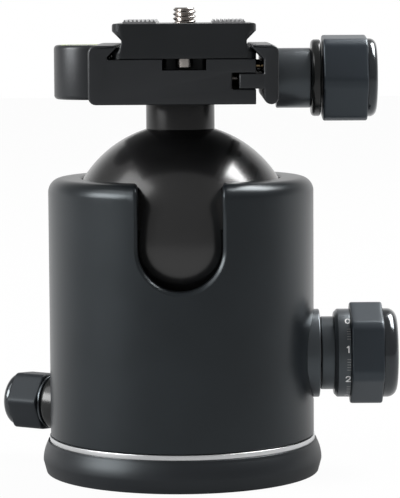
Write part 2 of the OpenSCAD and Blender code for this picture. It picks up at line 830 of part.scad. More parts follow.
// Countersunk head, drawn upwards from the end of the shank
module bolt_head(grow, rise) {
    r = bolt_r + grow;
    slant = bolt_head_h - bolt_rim;
    rotate_extrude() polygon([
        [0, 0], [r, 0], [r + slant, slant], [r + slant, bolt_head_h + rise], [0, bolt_head_h + rise]
    ]);
}

module neck_bolt() {
    low_z = ball_z + ball_r + 4 * gap;
    top_z = floor_z - bolt_head_h - seat;
    socket_r = 2.3;
    socket_d = 2;
    color([0.3, 0.3, 0.31]) difference() {
        union() {
            translate([0, 0, low_z]) cylinder(r = bolt_r, h = top_z + hair - low_z);
            translate([0, 0, top_z]) bolt_head(0, 0);
        }
        translate([0, 0, floor_z - seat - socket_d]) cylinder(r = socket_r, h = socket_d + over, $fn = 6);
    }
}

module level_cup() {
    color([0.75, 0.8, 0.25]) translate([level_x, 0, lobe_top - level_h]) difference() {
        cylinder(r = level_r, h = level_h);
        translate([0, 0, level_h / 3]) cylinder(r = level_r - level_wall, h = level_h);
    }
}

module level_glass() {
    color([0.8, 0.95, 0.7, 0.6]) translate([level_x, 0, lobe_top - 2 * level_h / 3])
        turned(level_r - level_wall - seat, 2 * level_h / 3 - seat, 0, edge_f);
}

module jaw_section_2d() {
    f = clamp_f;
    lip_z0 = plate_z + foot_edge + lip_d - jaw_gap + gap;
    nose_x = foot_r - lip_x(jaw_top - lip_nose);
    half = tongue_t / 2;
    polygon([
        [jaw_x + f, clamp_z], [jaw_end - f, clamp_z], [jaw_end, clamp_z + f], [jaw_end, jaw_top - f],
        [jaw_end - f, jaw_top], [nose_x, jaw_top], [nose_x, jaw_top - lip_nose],
        [jaw_x, lip_z0], [jaw_x, screw_z + half], [tongue_x, screw_z + half],
        [tongue_x, screw_z - half], [jaw_x, screw_z - half], [jaw_x, clamp_z + f]
    ]);
    for (p = [[jaw_x + f, clamp_z + f], [jaw_end - f, clamp_z + f], [jaw_end - f, jaw_top - f]])
        translate(p) circle(f);
}

module clamp_jaw() {
    color([0.2, 0.21, 0.22]) difference() {
        along_y(clamp_l) jaw_section_2d();
        along_x(tongue_x - over, screw_z) cylinder(r = clamp_screw_r + fit, h = plate_w);
        for (s = [-1, 1]) translate([0, s * pin_y, 0]) along_x(jaw_x - over, pin_z)
            cylinder(r = pin_r + seat, h = jaw_t - over / 2);
    }
}

module jaw_collar() {
    color([0.2, 0.21, 0.22]) difference() {
        along_x(jaw_end + seat, screw_z) turned(jaw_collar_r, jaw_collar_l - seat, edge_f, edge_f);
        along_x(jaw_end - over, screw_z) cylinder(r = clamp_screw_r + fit, h = jaw_collar_l + 2 * over);
    }
}

module guide_pins() {
    color([0.75, 0.68, 0.45]) for (s = [-1, 1]) translate([0, s * pin_y, 0])
        along_x(jaw_x + jaw_t - 2 * over - pin_l, pin_z) cylinder(r = pin_r, h = pin_l);
}

// Points of one ring of a coil's wire, at step i of the turns
function coil_ring(i) = [for (j = [0 : spring_sides - 1])
    let (a = 360 * i / spring_steps, b = 360 * j / spring_sides,
         r = spring_mean_r + spring_wire_r * cos(b),
         rise = (spring_l - 2 * spring_wire_r) * i / (spring_turns * spring_steps))
    [r * cos(a), r * sin(a), spring_wire_r + rise + spring_wire_r * sin(b)]];

module coil() {
    n = spring_turns * spring_steps;
    m = spring_sides;
    polyhedron(
        points = [for (i = [0 : n]) each coil_ring(i)],
        faces = concat(
            [[for (j = [0 : m - 1]) j]],
            [for (i = [0 : n - 1], j = [0 : m - 1]) let (k = (j + 1) % m)
                [i * m + j, (i + 1) * m + j, (i + 1) * m + k, i * m + k]],
            [[for (j = [m - 1 : -1 : 0]) n * m + j]]
        ),
        convexity = 10
    );
}

module jaw_springs() {
    color([0.8, 0.7, 0.4]) for (s = [-1, 1]) translate([0, s * pin_y, 0])
        along_x(clamp_right - pin_bore_l + gap, pin_z) coil();
}

// ---- Clamp knob ----

module clamp_screw() {
    color([0.66, 0.66, 0.67]) along_x(clamp_screw_x, screw_z)
        cylinder(r = clamp_screw_r, h = clamp_cap_x - over - clamp_screw_x);
}

module clamp_knob_core() {
    color([0.15, 0.16, 0.17]) difference() {
        union() {
            along_x(clamp_knob_x, screw_z) turned(clamp_flange_r, clamp_flange_w - gap, flange_f, grip_f);
            along_x(clamp_knob_x, screw_z) cylinder(r = clamp_core_r, h = clamp_cap_x - clamp_knob_x);
        }
        along_x(clamp_knob_x - over, screw_z)
            cylinder(r = clamp_screw_r + seat, h = clamp_cap_x - clamp_knob_x);
    }
}

module clamp_grip() {
    color([0.2, 0.22, 0.25]) along_x(clamp_grip_x, screw_z) rotate([0, 0, -90 - clamp_turn])
        grip(clamp_grip_r, clamp_flats, clamp_grip_l, clamp_core_r + seat, grip_f);
}

module clamp_cap() {
    color([0.12, 0.12, 0.13]) along_x(clamp_cap_x, screw_z)
        turned(clamp_cap_r, clamp_cap_h, 0, clamp_cap_f);
}

// ---- Camera plate ----

module plate_section_2d() {
    hw = plate_w / 2;
    ww = hw - vee;
    half = [[hw, 0], [hw, foot_edge], [ww, foot_edge + vee], [ww, foot_edge + vee + waist_h],
            [hw, foot_edge + 2 * vee + waist_h], [hw, plate_h]];
    n = len(half);
    polygon(concat(half, [for (i = [n - 1 : -1 : 0]) [-half[i][0], half[i][1]]]));
}

module slot_2d(w, l) {
    square([w, l - w], center = true);
    for (s = [-1, 1]) translate([0, s * (l - w) / 2]) circle(w / 2);
}

module camera_plate() {
    color([0.19, 0.2, 0.21]) translate([plate_x, 0, 0]) difference() {
        intersection() {
            translate([0, 0, plate_z]) along_y(plate_l) plate_section_2d();
            translate([0, 0, plate_z]) linear_extrude(plate_h) round_rect(plate_w, plate_l, plate_f);
        }
        translate([0, 0, web_z - over]) linear_extrude(plate_h)
            slot_2d(slot_top_w, 2 * screw_travel + slot_top_w);
        translate([0, 0, plate_z - over]) linear_extrude(web_z - plate_z + over)
            slot_2d(slot_low_w, 2 * screw_travel + slot_low_w);
        for (s = [-1, 1]) translate([s * (pad_inset + pad_w / 2), 0, plate_top - pad_sink])
            linear_extrude(over) square([pad_w, pad_l], center = true);
        for (s = [-1, 1]) translate([0, s * stop_y, plate_z - over])
            cylinder(r = stop_shank_r + seat, h = stop_shank_l + over);
    }
}

module plate_pads() {
    n = floor((pad_w - rib_w) / rib_pitch);
    color([0.12, 0.12, 0.12]) for (s = [-1, 1])
        translate([plate_x + s * (pad_inset + pad_w / 2), 0, plate_top - pad_sink]) {
            translate([0, 0, pad_t / 2]) cube([pad_w - 2 * seat, pad_l - 2 * seat, pad_t], center = true);
            for (i = [0 : n]) translate([(i - n / 2) * rib_pitch, 0, pad_t + rib_h / 2 - hair])
                cube([rib_w, pad_l - 2 * seat, rib_h + hair], center = true);
        }
}

module stop_screws() {
    color([0.75, 0.75, 0.75]) for (s = [-1, 1])
        translate([plate_x, s * stop_y, plate_z - seat - stop_l]) difference() {
            union() {
                turned(stop_r, stop_l, edge_f, 0);
                cylinder(r = stop_shank_r, h = stop_l + stop_shank_l);
            }
            translate([0, 0, -over]) cylinder(r = stop_r / 2, h = over + stop_l / 2, $fn = 6);
        }
}

module screw_washer() {
    color([0.7, 0.7, 0.7]) translate([plate_x, 0, washer_z])
        ring(camera_head_r, camera_shank_r + fit, washer_t);
}

module camera_screw() {
    tip = 0.5;
    l = plate_top + camera_screw_l - head_z;
    thread_z = plate_top + thread_gap - head_z;
    socket_r = 2.9;
    socket_d = 2.2;
    color([0.8, 0.8, 0.8]) translate([plate_x, 0, head_z]) difference() {
        union() {
            turned(camera_head_r, camera_head_h, edge_f, edge_f / 2);
            rotate_extrude() polygon([
                [0, 0], [camera_shank_r, 0], [camera_shank_r, thread_z], [camera_screw_r, thread_z],
                [camera_screw_r, l - tip], [camera_screw_r - tip, l], [0, l]
            ]);
        }
        translate([0, 0, -over]) cylinder(r = socket_r, h = socket_d + over, $fn = 6);
    }
}

base_plate();
thread_insert();
spindle();
retaining_flange();
spindle_screws();
glide_washer();
scale_ring();
housing();
carrier_plate();
upper_race();
lock_bush();
pan_bush();
lock_wedge();
brake_cup();
lock_shaft();
shaft_clip();
lock_knob_core();
lock_grip();
lock_cap();
tension_dial();
pan_pad();
pan_screw();
pan_knob_core();
pan_grip();
pan_cap();
ball();
neck();
clamp_base();
neck_bolt();
level_cup();
level_glass();
clamp_jaw();
jaw_collar();
guide_pins();
jaw_springs();
clamp_screw();
clamp_knob_core();
clamp_grip();
clamp_cap();
camera_plate();
plate_pads();
stop_screws();
screw_washer();
camera_screw();
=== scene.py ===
"""Tripod ball head: the dressed pieces, their finishes, the studio and the camera.

Shapes are worked out in millimetres, and piece() puts them into meshes in metres. X points to the lock
knob, the drop notch opens towards -Y, and Z is the pan axis, with its zero on the underside of the base."""
import math

import bmesh
import bpy
import numpy as np
from mathutils import Matrix, Vector


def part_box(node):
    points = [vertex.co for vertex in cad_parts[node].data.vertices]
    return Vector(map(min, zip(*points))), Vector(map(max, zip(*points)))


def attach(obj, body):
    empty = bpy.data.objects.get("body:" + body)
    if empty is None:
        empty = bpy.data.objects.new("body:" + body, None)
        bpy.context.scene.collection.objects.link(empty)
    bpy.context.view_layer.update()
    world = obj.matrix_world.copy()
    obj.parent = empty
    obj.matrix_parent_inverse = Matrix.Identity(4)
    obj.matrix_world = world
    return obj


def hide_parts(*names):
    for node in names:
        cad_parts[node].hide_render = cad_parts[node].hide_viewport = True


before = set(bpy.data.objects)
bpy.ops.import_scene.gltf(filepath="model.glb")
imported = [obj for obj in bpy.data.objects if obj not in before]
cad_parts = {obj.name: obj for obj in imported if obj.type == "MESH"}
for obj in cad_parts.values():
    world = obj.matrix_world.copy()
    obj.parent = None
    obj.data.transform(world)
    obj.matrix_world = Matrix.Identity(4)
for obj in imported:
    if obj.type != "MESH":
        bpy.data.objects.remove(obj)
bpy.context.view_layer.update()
MM = 0.001
TAU = 2 * math.pi


def span(node):
    """Lowest and highest corner of a CAD node in millimetres."""
    return tuple(np.array(corner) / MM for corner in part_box(node))


# ---- Shapes: curves and grids ----


def rounded(corners, closed=True, steps=7, inset=0.0):
    """Outline through corners (x, y, radius). Each corner with a radius becomes the arc that touches both
    sides: it starts at radius / tan(half the corner's angle) before the corner and ends as far after it.
    With an inset every side moves inwards by it: corners slide along their mitre, outer arcs lose the inset
    and inner arcs gain it."""
    pts = np.array([c[:2] for c in corners], float)
    x, y = pts.T
    spin = 1 if np.sum(x * np.roll(y, -1) - y * np.roll(x, -1)) > 0 else -1
    out = []
    for i, (p, c) in enumerate(zip(pts, corners)):
        open_end = (i == 0 or i == len(pts) - 1) and not closed
        radius = c[2] if len(c) > 2 and not open_end else 0
        if not radius and not inset:
            out.append(p[None])
            continue
        a, b = pts[i - 1] - p, pts[(i + 1) % len(pts)] - p
        a, b = a / np.hypot(*a), b / np.hypot(*b)
        if inset:
            n1, n2 = spin * np.array([-a[1], a[0]]), spin * np.array([b[1], -b[0]])
            p = p - inset * (n1 + n2) / (1 + n1 @ n2)
            outer = spin * (a[0] * b[1] - a[1] * b[0]) < 0
        if not radius:
            out.append(p[None])
            continue
        if inset:
            radius = max(radius - inset, 0) if outer else radius + inset
        half = math.acos(np.clip(a @ b, -1, 1)) / 2
        centre = p + (a + b) / np.hypot(*(a + b)) * radius / math.sin(half)
        start, end = p + a * radius / math.tan(half) - centre, p + b * radius / math.tan(half) - centre
        first, turn = 0.0, 0.0
        if radius:
            first = math.atan2(start[1], start[0])
            turn = (math.atan2(end[1], end[0]) - first + math.pi) % TAU - math.pi
        t = first + turn * np.linspace(0, 1, steps)
        out.append(centre + radius * np.stack([np.cos(t), np.sin(t)], 1))
    return np.concatenate(out)


def thicken(line, step):
    """The same line with points added about a step apart."""
    parts = [a + (b - a) * np.linspace(0, 1, max(1, int(np.hypot(*(b - a)) / step)), endpoint=False)[:, None]
             for a, b in zip(line[:-1], line[1:])]
    return np.concatenate(parts + [line[-1:]])


def axis_frame(origin, along, front, up):
    """A turning axis: its origin, its direction, and the two directions that angles are measured from."""
    return tuple(np.array(v, float) for v in (origin, along, front, up))


def upright_axis(x, y):
    """A turning axis that stands along Z at (x, y)."""
    return axis_frame((x, y, 0), (0, 0, 1), (0, -1, 0), (1, 0, 0))


def cross_axis(x, z):
    """A turning axis that points along X from (x, 0, z)."""
    return axis_frame((x, 0, z), (1, 0, 0), (0, -1, 0), (0, 0, 1))


def turned(profile, axis, sides=128):
    """Point (i, j) = origin + height_i * along + radius_i * (cos(angle_j) * front + sin(angle_j) * up)."""
    origin, along, front, up = axis
    r, h = profile[:, 0, None, None], profile[:, 1, None, None]
    a = (TAU * np.arange(sides) / sides)[None, :, None]
    return origin + h * along + r * (np.cos(a) * front + np.sin(a) * up)


def hex_grip(axis, length, flats, corner_r, edge, turn, bore, sides=240):
    """Six-sided sleeve, closed along its bore. Its radius at an angle is the smooth minimum of the corner
    radius and flats / 2 / cos(angle from the flat's middle). At a depth below edge from either end it is
    drawn in by edge - sqrt(edge^2 - (edge - depth)^2)."""
    origin, along, front, up = axis
    crispness, middle = 9, 7
    a = TAU * np.arange(sides) / sides
    from_corner = (a + math.pi / 6) % (math.pi / 3) - math.pi / 6
    flat = flats / 2 / np.cos(math.pi / 6 - np.abs(from_corner))
    radius = -np.logaddexp(-flat * crispness, -np.full_like(flat, corner_r) * crispness) / crispness
    t = np.linspace(0, math.pi / 2, 7)
    h = np.concatenate([edge * (1 - np.cos(t)), np.linspace(edge, length - edge, middle + 2)[1:-1],
                        length - edge * (1 - np.sin(t))])
    draw = np.concatenate([edge * (1 - np.sin(t)), np.zeros(middle), edge * (1 - np.cos(t))])
    inner = np.full((1, sides), bore)
    h = np.concatenate([[0], h, [length]])
    rows = np.concatenate([inner, radius[None] - draw[:, None], inner])
    ang = (a + turn)[None, :, None]
    return origin + h[:, None, None] * along + rows[..., None] * (np.cos(ang) * front + np.sin(ang) * up)


def pushed(corners, half, edge, steps=6, arcs=6, middle=10):
    """Section of corners (x, z, radius) pushed along Y from -half to half. At a depth below edge from
    either end its sides are drawn in by edge - sqrt(edge^2 - (edge - depth)^2), so that the end edges are
    rounded."""
    t = np.linspace(0, math.pi / 2, steps)
    depth, draw = edge * (1 - np.cos(t)), edge * (1 - np.sin(t))
    y_middle = np.linspace(edge - half, half - edge, middle + 2)[1:-1]
    y = np.concatenate([depth - half, y_middle, (half - depth)[::-1]])
    full = rounded(corners, steps=arcs)
    ends = [rounded(corners, steps=arcs, inset=d) for d in draw]
    flat = np.stack(ends + [full] * middle + ends[::-1])
    return np.stack([flat[..., 0], np.broadcast_to(y[:, None], flat.shape[:2]), flat[..., 1]], -1)


def stacked(corners, levels, arcs=6):
    """Plan of corners (x, y, radius) repeated at levels. A level is its height and the plan's inset there."""
    flat = np.stack([rounded(corners, steps=arcs, inset=d) for _, d in levels])
    height = np.array([h for h, _ in levels], float)
    return np.concatenate([flat, np.broadcast_to(height[:, None, None], flat.shape[:2] + (1,))], -1)


def round_levels(lo, hi, edge, steps=6):
    """Levels from lo to hi for stacked(), with both edges rounded by edge."""
    t = np.linspace(0, math.pi / 2, steps)
    low = [(lo + edge * (1 - math.cos(a)), edge * (1 - math.sin(a))) for a in t]
    return low + [(lo + hi - h, s) for h, s in reversed(low)]


def unit(v):
    """The vectors at length 1."""
    return v / np.maximum(np.linalg.norm(v, axis=-1, keepdims=True), 1e-12)


def piece(name, shells, material, body, nodes=(), crease=32):
    """One object out of grids of points in millimetres. The columns of a grid wrap round; its rows wrap too
    where the shell is (grid, True), and otherwise its first and last row are closed by a face or a pole."""
    weld, sliver, pole = 2e-7, 1e-8, 1e-6
    verts, faces, base = [], [], 0
    for shell in shells:
        grid, ring = shell if isinstance(shell, tuple) else (shell, False)
        m, n = grid.shape[:2]
        i = np.arange(m if ring else m - 1)[:, None]
        j = np.arange(n)[None]
        i2, j2 = (i + 1) % m, (j + 1) % n
        quads = np.stack([i * n + j, i2 * n + j, i2 * n + j2, i * n + j2], -1).reshape(-1, 4) + base
        faces += quads.tolist()
        if not ring:
            for row in (0, m - 1):
                if np.ptp(grid[row], axis=0).max() > pole:
                    faces.append((base + row * n + np.arange(n)).tolist())
        verts.append(grid.reshape(-1, 3))
        base += m * n
    mesh = bpy.data.meshes.new(name)
    mesh.from_pydata((np.concatenate(verts) * MM).tolist(), [], faces)
    bm = bmesh.new()
    bm.from_mesh(mesh)
    bmesh.ops.remove_doubles(bm, verts=bm.verts, dist=weld)
    bmesh.ops.dissolve_degenerate(bm, edges=bm.edges, dist=sliver)
    bmesh.ops.recalc_face_normals(bm, faces=bm.faces)
    bm.to_mesh(mesh)
    bm.free()
    obj = bpy.data.objects.new(name, mesh)
    bpy.context.scene.collection.objects.link(obj)
    mesh.materials.append(material)
    mesh.shade_smooth()
    mesh.set_sharp_from_angle(angle=math.radians(crease))
    if body:
        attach(obj, body)
        if nodes:
            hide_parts(*nodes)
    return obj


def cut(obj, shell, crease=32):
    """Takes the shell's solid out of the piece, for bores and pockets. It is worked out in millimetres."""
    cutter = piece("cutter", [shell], obj.data.materials[0], None)
    obj.data.transform(Matrix.Scale(1 / MM, 4))
    cutter.data.transform(Matrix.Scale(1 / MM, 4))
    mod = obj.modifiers.new("cut", "BOOLEAN")
    mod.operation, mod.solver, mod.object = "DIFFERENCE", "EXACT", cutter
    graph = bpy.context.evaluated_depsgraph_get()
    mesh = bpy.data.meshes.new_from_object(obj.evaluated_get(graph))
    obj.modifiers.remove(mod)
    mesh.transform(Matrix.Scale(MM, 4))
    obj.data = mesh
    bpy.data.objects.remove(cutter)
    obj.data.shade_smooth()
    obj.data.set_sharp_from_angle(angle=math.radians(crease))


# ---- Finishes ----


def add(tree, kind, inputs=(), **settings):
    """A new shader node with its settings and the values of its inputs, by name or place."""
    node = tree.nodes.new("ShaderNode" + kind)
    for key, value in settings.items():
        setattr(node, key, value)
    for key, value in dict(inputs).items():
        node.inputs[key].default_value = value
    return node


def finish_node(name, colour, rough, metal=0.0, grain=0.0, grain_size=0.2, cloud=0.15, coat=0.0, spec=0.5,
                rough_play=0.06, **sockets):
    """A worked surface. A soft noise shades the colour by the share cloud each way, half of it and half of
    a fine noise shade the roughness by rough_play each way, and the fine one raises a grain of the height
    grain and the size grain_size, both in millimetres. Other sockets are set by their own name."""
    cloud_scale, coat_rough = 55, 0.12
    mat = bpy.data.materials.new(name)
    mat.use_nodes = True
    nt = mat.node_tree
    link, bsdf = nt.links.new, nt.nodes["Principled BSDF"]
    coord = add(nt, "TexCoord")
    soft = add(nt, "TexNoise", {"Scale": cloud_scale, "Detail": 3})
    fine = add(nt, "TexNoise", {"Scale": 1 / MM / grain_size / 2, "Detail": 2})
    for noise in (soft, fine):
        link(coord.outputs["Object"], noise.inputs["Vector"])
    ramp = add(nt, "ValToRGB")
    for stop, place, share in zip(ramp.color_ramp.elements, (0.3, 0.7), (1 - cloud, 1 + cloud)):
        stop.position = place
        stop.color = tuple(min(1, c * share) for c in colour) + (1,)
    link(soft.outputs["Fac"], ramp.inputs["Fac"])
    link(ramp.outputs["Color"], bsdf.inputs["Base Color"])
    half = add(nt, "Math", {1: 0.5}, operation="MULTIPLY")
    both = add(nt, "Math", {1: 0.5}, operation="MULTIPLY_ADD")
    play = add(nt, "MapRange", {"To Min": max(0.02, rough - rough_play), "To Max": rough + rough_play})
    link(fine.outputs["Fac"], half.inputs[0])
    link(soft.outputs["Fac"], both.inputs[0])
    link(half.outputs[0], both.inputs[2])
    link(both.outputs[0], play.inputs["Value"])
    link(play.outputs["Result"], bsdf.inputs["Roughness"])
    if grain:
        bump = add(nt, "Bump", {"Strength": 1.0, "Distance": grain * MM})
        link(fine.outputs["Fac"], bump.inputs["Height"])
        link(bump.outputs["Normal"], bsdf.inputs["Normal"])
    own = {"Metallic": metal, "Specular_IOR_Level": spec, "Coat_Weight": coat, "Coat_Roughness": coat_rough}
    for key, value in (own | sockets).items():
        bsdf.inputs[key.replace("_", " ")].default_value = value
    return mat


COOL, STEEL_BLUE, PALE = (0.86, 0.95, 1.0, 1), (0.80, 0.92, 1.0, 1), (0.94, 0.97, 1.0, 1)
satin_black = finish_node("satin black anodising", (0.009, 0.011, 0.013), 0.30, grain=0.003, grain_size=0.16,
                          spec=0.50, Specular_Tint=COOL)
base_black = finish_node("turned black anodising", (0.010, 0.011, 0.013), 0.40, grain=0.003, grain_size=0.2,
                         spec=0.46, Specular_Tint=COOL)
clamp_black = finish_node("bead blasted anodising", (0.011, 0.012, 0.0135), 0.34, grain=0.006,
                          grain_size=0.18, spec=0.58, Specular_Tint=PALE)
plate_black = finish_node("plate anodising", (0.008, 0.009, 0.010), 0.32, grain=0.006, grain_size=0.18,
                          spec=0.42, Specular_Tint=PALE)
knob_metal = finish_node("knob anodising", (0.030, 0.032, 0.035), 0.30, grain=0.002, spec=1.0,
                         Specular_Tint=STEEL_BLUE)
flange_black = finish_node("flange anodising", (0.007, 0.008, 0.008), 0.22, grain=0.002, spec=0.55)
ball_black = finish_node("ball coating", (0.006, 0.006, 0.0062), 0.25, grain=0.0015, grain_size=0.12,
                         coat=0.3, spec=0.9, rough_play=0.03)
neck_black = finish_node("neck coating", (0.004, 0.004, 0.0045), 0.24, grain=0.0015, spec=0.58,
                         rough_play=0.03)
gloss_black = finish_node("polished cap", (0.010, 0.011, 0.013), 0.16, coat=0.25, spec=0.85, rough_play=0.03,
                          Specular_Tint=COOL)
grip_rubber = finish_node("grip rubber", (0.015, 0.019, 0.025), 0.34, grain=0.010, grain_size=0.22, spec=0.78,
                          Specular_Tint=STEEL_BLUE)
small_rubber = finish_node("small grip rubber", (0.014, 0.016, 0.019), 0.46, grain=0.010, grain_size=0.22,
                           spec=0.30, Specular_Tint=COOL)
# Painted glare: the pads are dark ribbed rubber, and their pale grey colour with strong blotches stands for
# the backdrop's reflection on the ribs seen at a grazing angle.
pad_rubber_painted_glare = finish_node("pad rubber with painted glare", (0.22, 0.22, 0.225), 0.30, grain=0.03, grain_size=0.3, spec=1.0,
                         cloud=0.5, rough_play=0.12)
scale_silver = finish_node("turned scale ring", (0.86, 0.87, 0.88), 0.30, metal=1.0, grain=0.0006, cloud=0.04)
bright_steel = finish_node("bright steel", (0.58, 0.54, 0.51), 0.21, metal=1.0, grain=0.002, cloud=0.05)
dark_steel = finish_node("blackened steel", (0.05, 0.05, 0.052), 0.32, metal=0.8, grain=0.003)
raw_aluminium = finish_node("raw aluminium", (0.60, 0.61, 0.62), 0.34, metal=1.0, grain=0.004, cloud=0.06)
bronze = finish_node("bearing bronze", (0.55, 0.40, 0.22), 0.3, metal=1.0, grain=0.003)
spring_steel = finish_node("spring steel", (0.62, 0.52, 0.36), 0.25, metal=1.0, grain=0.002)
bearing_black = finish_node("bearing plastic", (0.012, 0.012, 0.012), 0.4, grain=0.004)
level_green = finish_node("level fluid", (0.45, 0.62, 0.06), 0.3, cloud=0.05)
level_clear = finish_node("level glass", (0.75, 0.95, 0.45), 0.05, cloud=0.02, Transmission_Weight=0.9)
white_ink = finish_node("white ink", (0.80, 0.80, 0.80), 0.55, grain=0.004, cloud=0.03)
grey_ink = finish_node("grey ink", (0.30, 0.30, 0.30), 0.55, grain=0.004, cloud=0.03)

# ---- Datums of the frame ----

base_hi, neck_hi = span("base_plate")[1], span("neck")[1]
body_lo, body_hi = span("housing")
ball_lo, ball_hi = span("ball")
clamp_lo, clamp_hi = span("clamp_base")
plate_lo, plate_hi = span("camera_plate")
bush_lo, bush_hi = span("lock_bush")
Z_AXIS = upright_axis(0, 0)
ball_r, ball_z = (ball_hi[0] - ball_lo[0]) / 2, (ball_hi[2] + ball_lo[2]) / 2
body_r, body_z, body_top = body_hi[0], body_lo[2], body_hi[2]
shaft_z = (bush_lo[2] + bush_hi[2]) / 2
X_SHAFT = cross_axis(0, shaft_z)
dial_r = span("tension_dial")[1][2] - shaft_z

# ---- Base ----

# Above the crease the flank narrows from the foot to the rim as foot - (foot - rim) * t^2, t from 0 to 1.
insert_bore, deck_r = 6.52, 20
recess_in, recess_out, recess_h = 14, 28, 0.6
foot_r, rim_r, base_h = base_hi[0], body_r + 0.8, base_hi[2]
crease_h, draw_in = 3.4, 0.9
t = np.linspace(0, 1, 9)
flare = np.stack([foot_r - (foot_r - rim_r) * t**2, crease_h + (base_h - 0.35 - crease_h) * t], 1)
rim = rounded([(*flare[-1], 0), (rim_r, base_h, 0.3), (deck_r, base_h, 0)], closed=False)
foot = rounded([(insert_bore, 0, 0), (recess_in, 0, 0.1), (recess_in, recess_h, 0.1),
                (recess_out, recess_h, 0.1), (recess_out, 0, 0.1), (foot_r - draw_in, 0, 0.35),
                (foot_r, crease_h, 0)], closed=False)
profile = np.concatenate([[[insert_bore, base_h]], foot, flare[1:], rim[1:]])
piece("base_flange", [(turned(profile, Z_AXIS, 192), True)], base_black, "base",
      ["base_plate"])
ring_lo, ring_hi = span("scale_ring")
ring_r, ring_bore = ring_hi[0], ring_hi[0] - 2.8
profile = rounded([(ring_bore, ring_lo[2]), (ring_r, ring_lo[2], 0.1), (ring_r, ring_hi[2], 0.15),
                   (ring_bore, ring_hi[2])])
piece("index_ring", [(turned(profile, Z_AXIS, 192), True)], scale_silver, "base",
      ["scale_ring"])

# ---- Housing ----

mouth_r, notch_r, bore_r = ball_r - 4.3, 11.25, ball_r + 0.6
crown, lip_h = 3.8, 2.7
lip_z = body_top - lip_h
wall_v, arc_v = body_top - crown - body_z, crown * math.pi / 2


def housing_skin(angle, v):
    """Outer skin of the housing as a function of the angle from the front and the length v up the turned
    profile: the wall as far as wall_v, then the crown's arc of the length arc_v, then the flat top towards
    the mouth. Returns the points and their normals."""
    arc = np.clip(v - wall_v, 0, arc_v) / crown
    r = body_r - crown * (1 - np.cos(arc)) - np.maximum(v - wall_v - arc_v, 0)
    z = body_z + np.minimum(v, wall_v) + crown * np.sin(arc)
    pts = np.stack([r * np.sin(angle), -r * np.cos(angle), z], -1)
    out = np.stack([np.cos(arc) * np.sin(angle), -np.cos(arc) * np.cos(angle), np.sin(arc)], -1)
    return pts, out


def rim_half():
    """Right half of the edge round the mouth and the notch, from the notch's lowest point to the back. It
    has three stretches: the notch's quarter circle, its straight side up the wall and over the crown, and
    the line and the mouth's circle on the top face, whose common corner a Gaussian smooths. Returns the
    positions as (angle, v), the directions that look into the opening, and the number of points before the
    second and the third stretch."""
    step, reach, sigma, about = 0.15, 16, 6.0, 18
    th = np.linspace(0, math.pi / 2, 37)
    low = np.stack([np.arcsin(notch_r * np.sin(th) / body_r), ball_z - notch_r * np.cos(th) - body_z], 1)
    low_n = np.stack([-np.sin(th), 0 * th, np.cos(th)], 1)
    v = np.concatenate([np.linspace(ball_z - body_z, wall_v, 22)[1:],
                        wall_v + arc_v * np.linspace(0, 1, 15)[1:]])
    arc = np.clip(v - wall_v, 0, arc_v) / crown
    r = body_r - crown * (1 - np.cos(arc))
    side = np.stack([np.arcsin(notch_r / r), v], 1)
    side_n = np.tile([-1.0, 0, 0], (len(v), 1))
    y0, y1 = -math.sqrt((body_r - crown) ** 2 - notch_r**2), -math.sqrt(mouth_r**2 - notch_r**2)
    line_y = np.arange(y0 + step, y1, step)
    a = np.arange(math.asin(notch_r / mouth_r), math.pi, step / mouth_r)
    flat = np.concatenate([np.stack([np.full_like(line_y, notch_r), line_y], 1),
                           mouth_r * np.stack([np.sin(a), -np.cos(a)], 1)])
    kernel = np.exp(-0.5 * (np.arange(-reach, reach + 1) / sigma) ** 2)
    kernel /= kernel.sum()
    lo, hi = len(line_y) - about, len(line_y) + about
    wide = flat[lo - reach:hi + reach]
    flat[lo:hi] = np.stack([np.convolve(wide[:, k], kernel, "valid") for k in (0, 1)], 1)
    d = np.gradient(flat, axis=0)
    n = np.stack([-d[:, 1], d[:, 0], 0 * d[:, 0]], 1)
    n /= np.linalg.norm(n, axis=1)[:, None]
    dense = hi + 6
    keep = np.unique(np.concatenate([np.arange(0, dense, 2), np.arange(dense, len(flat), 7)]))
    flat, n = flat[keep], n[keep]
    r = np.hypot(flat[:, 0], flat[:, 1])
    top = np.stack([np.arctan2(flat[:, 0], -flat[:, 1]), wall_v + arc_v + (body_r - crown) - r], 1)
    n_low, n_side = len(low), len(low) + len(side)
    return np.concatenate([low, side, top]), np.concatenate([low_n, side_n, n]), n_low, n_side


def on_circle(r, angle, z):
    """Points at the radius r, the angle from the front and the height z."""
    return np.stack([r * np.sin(angle), -r * np.cos(angle), z], -1)


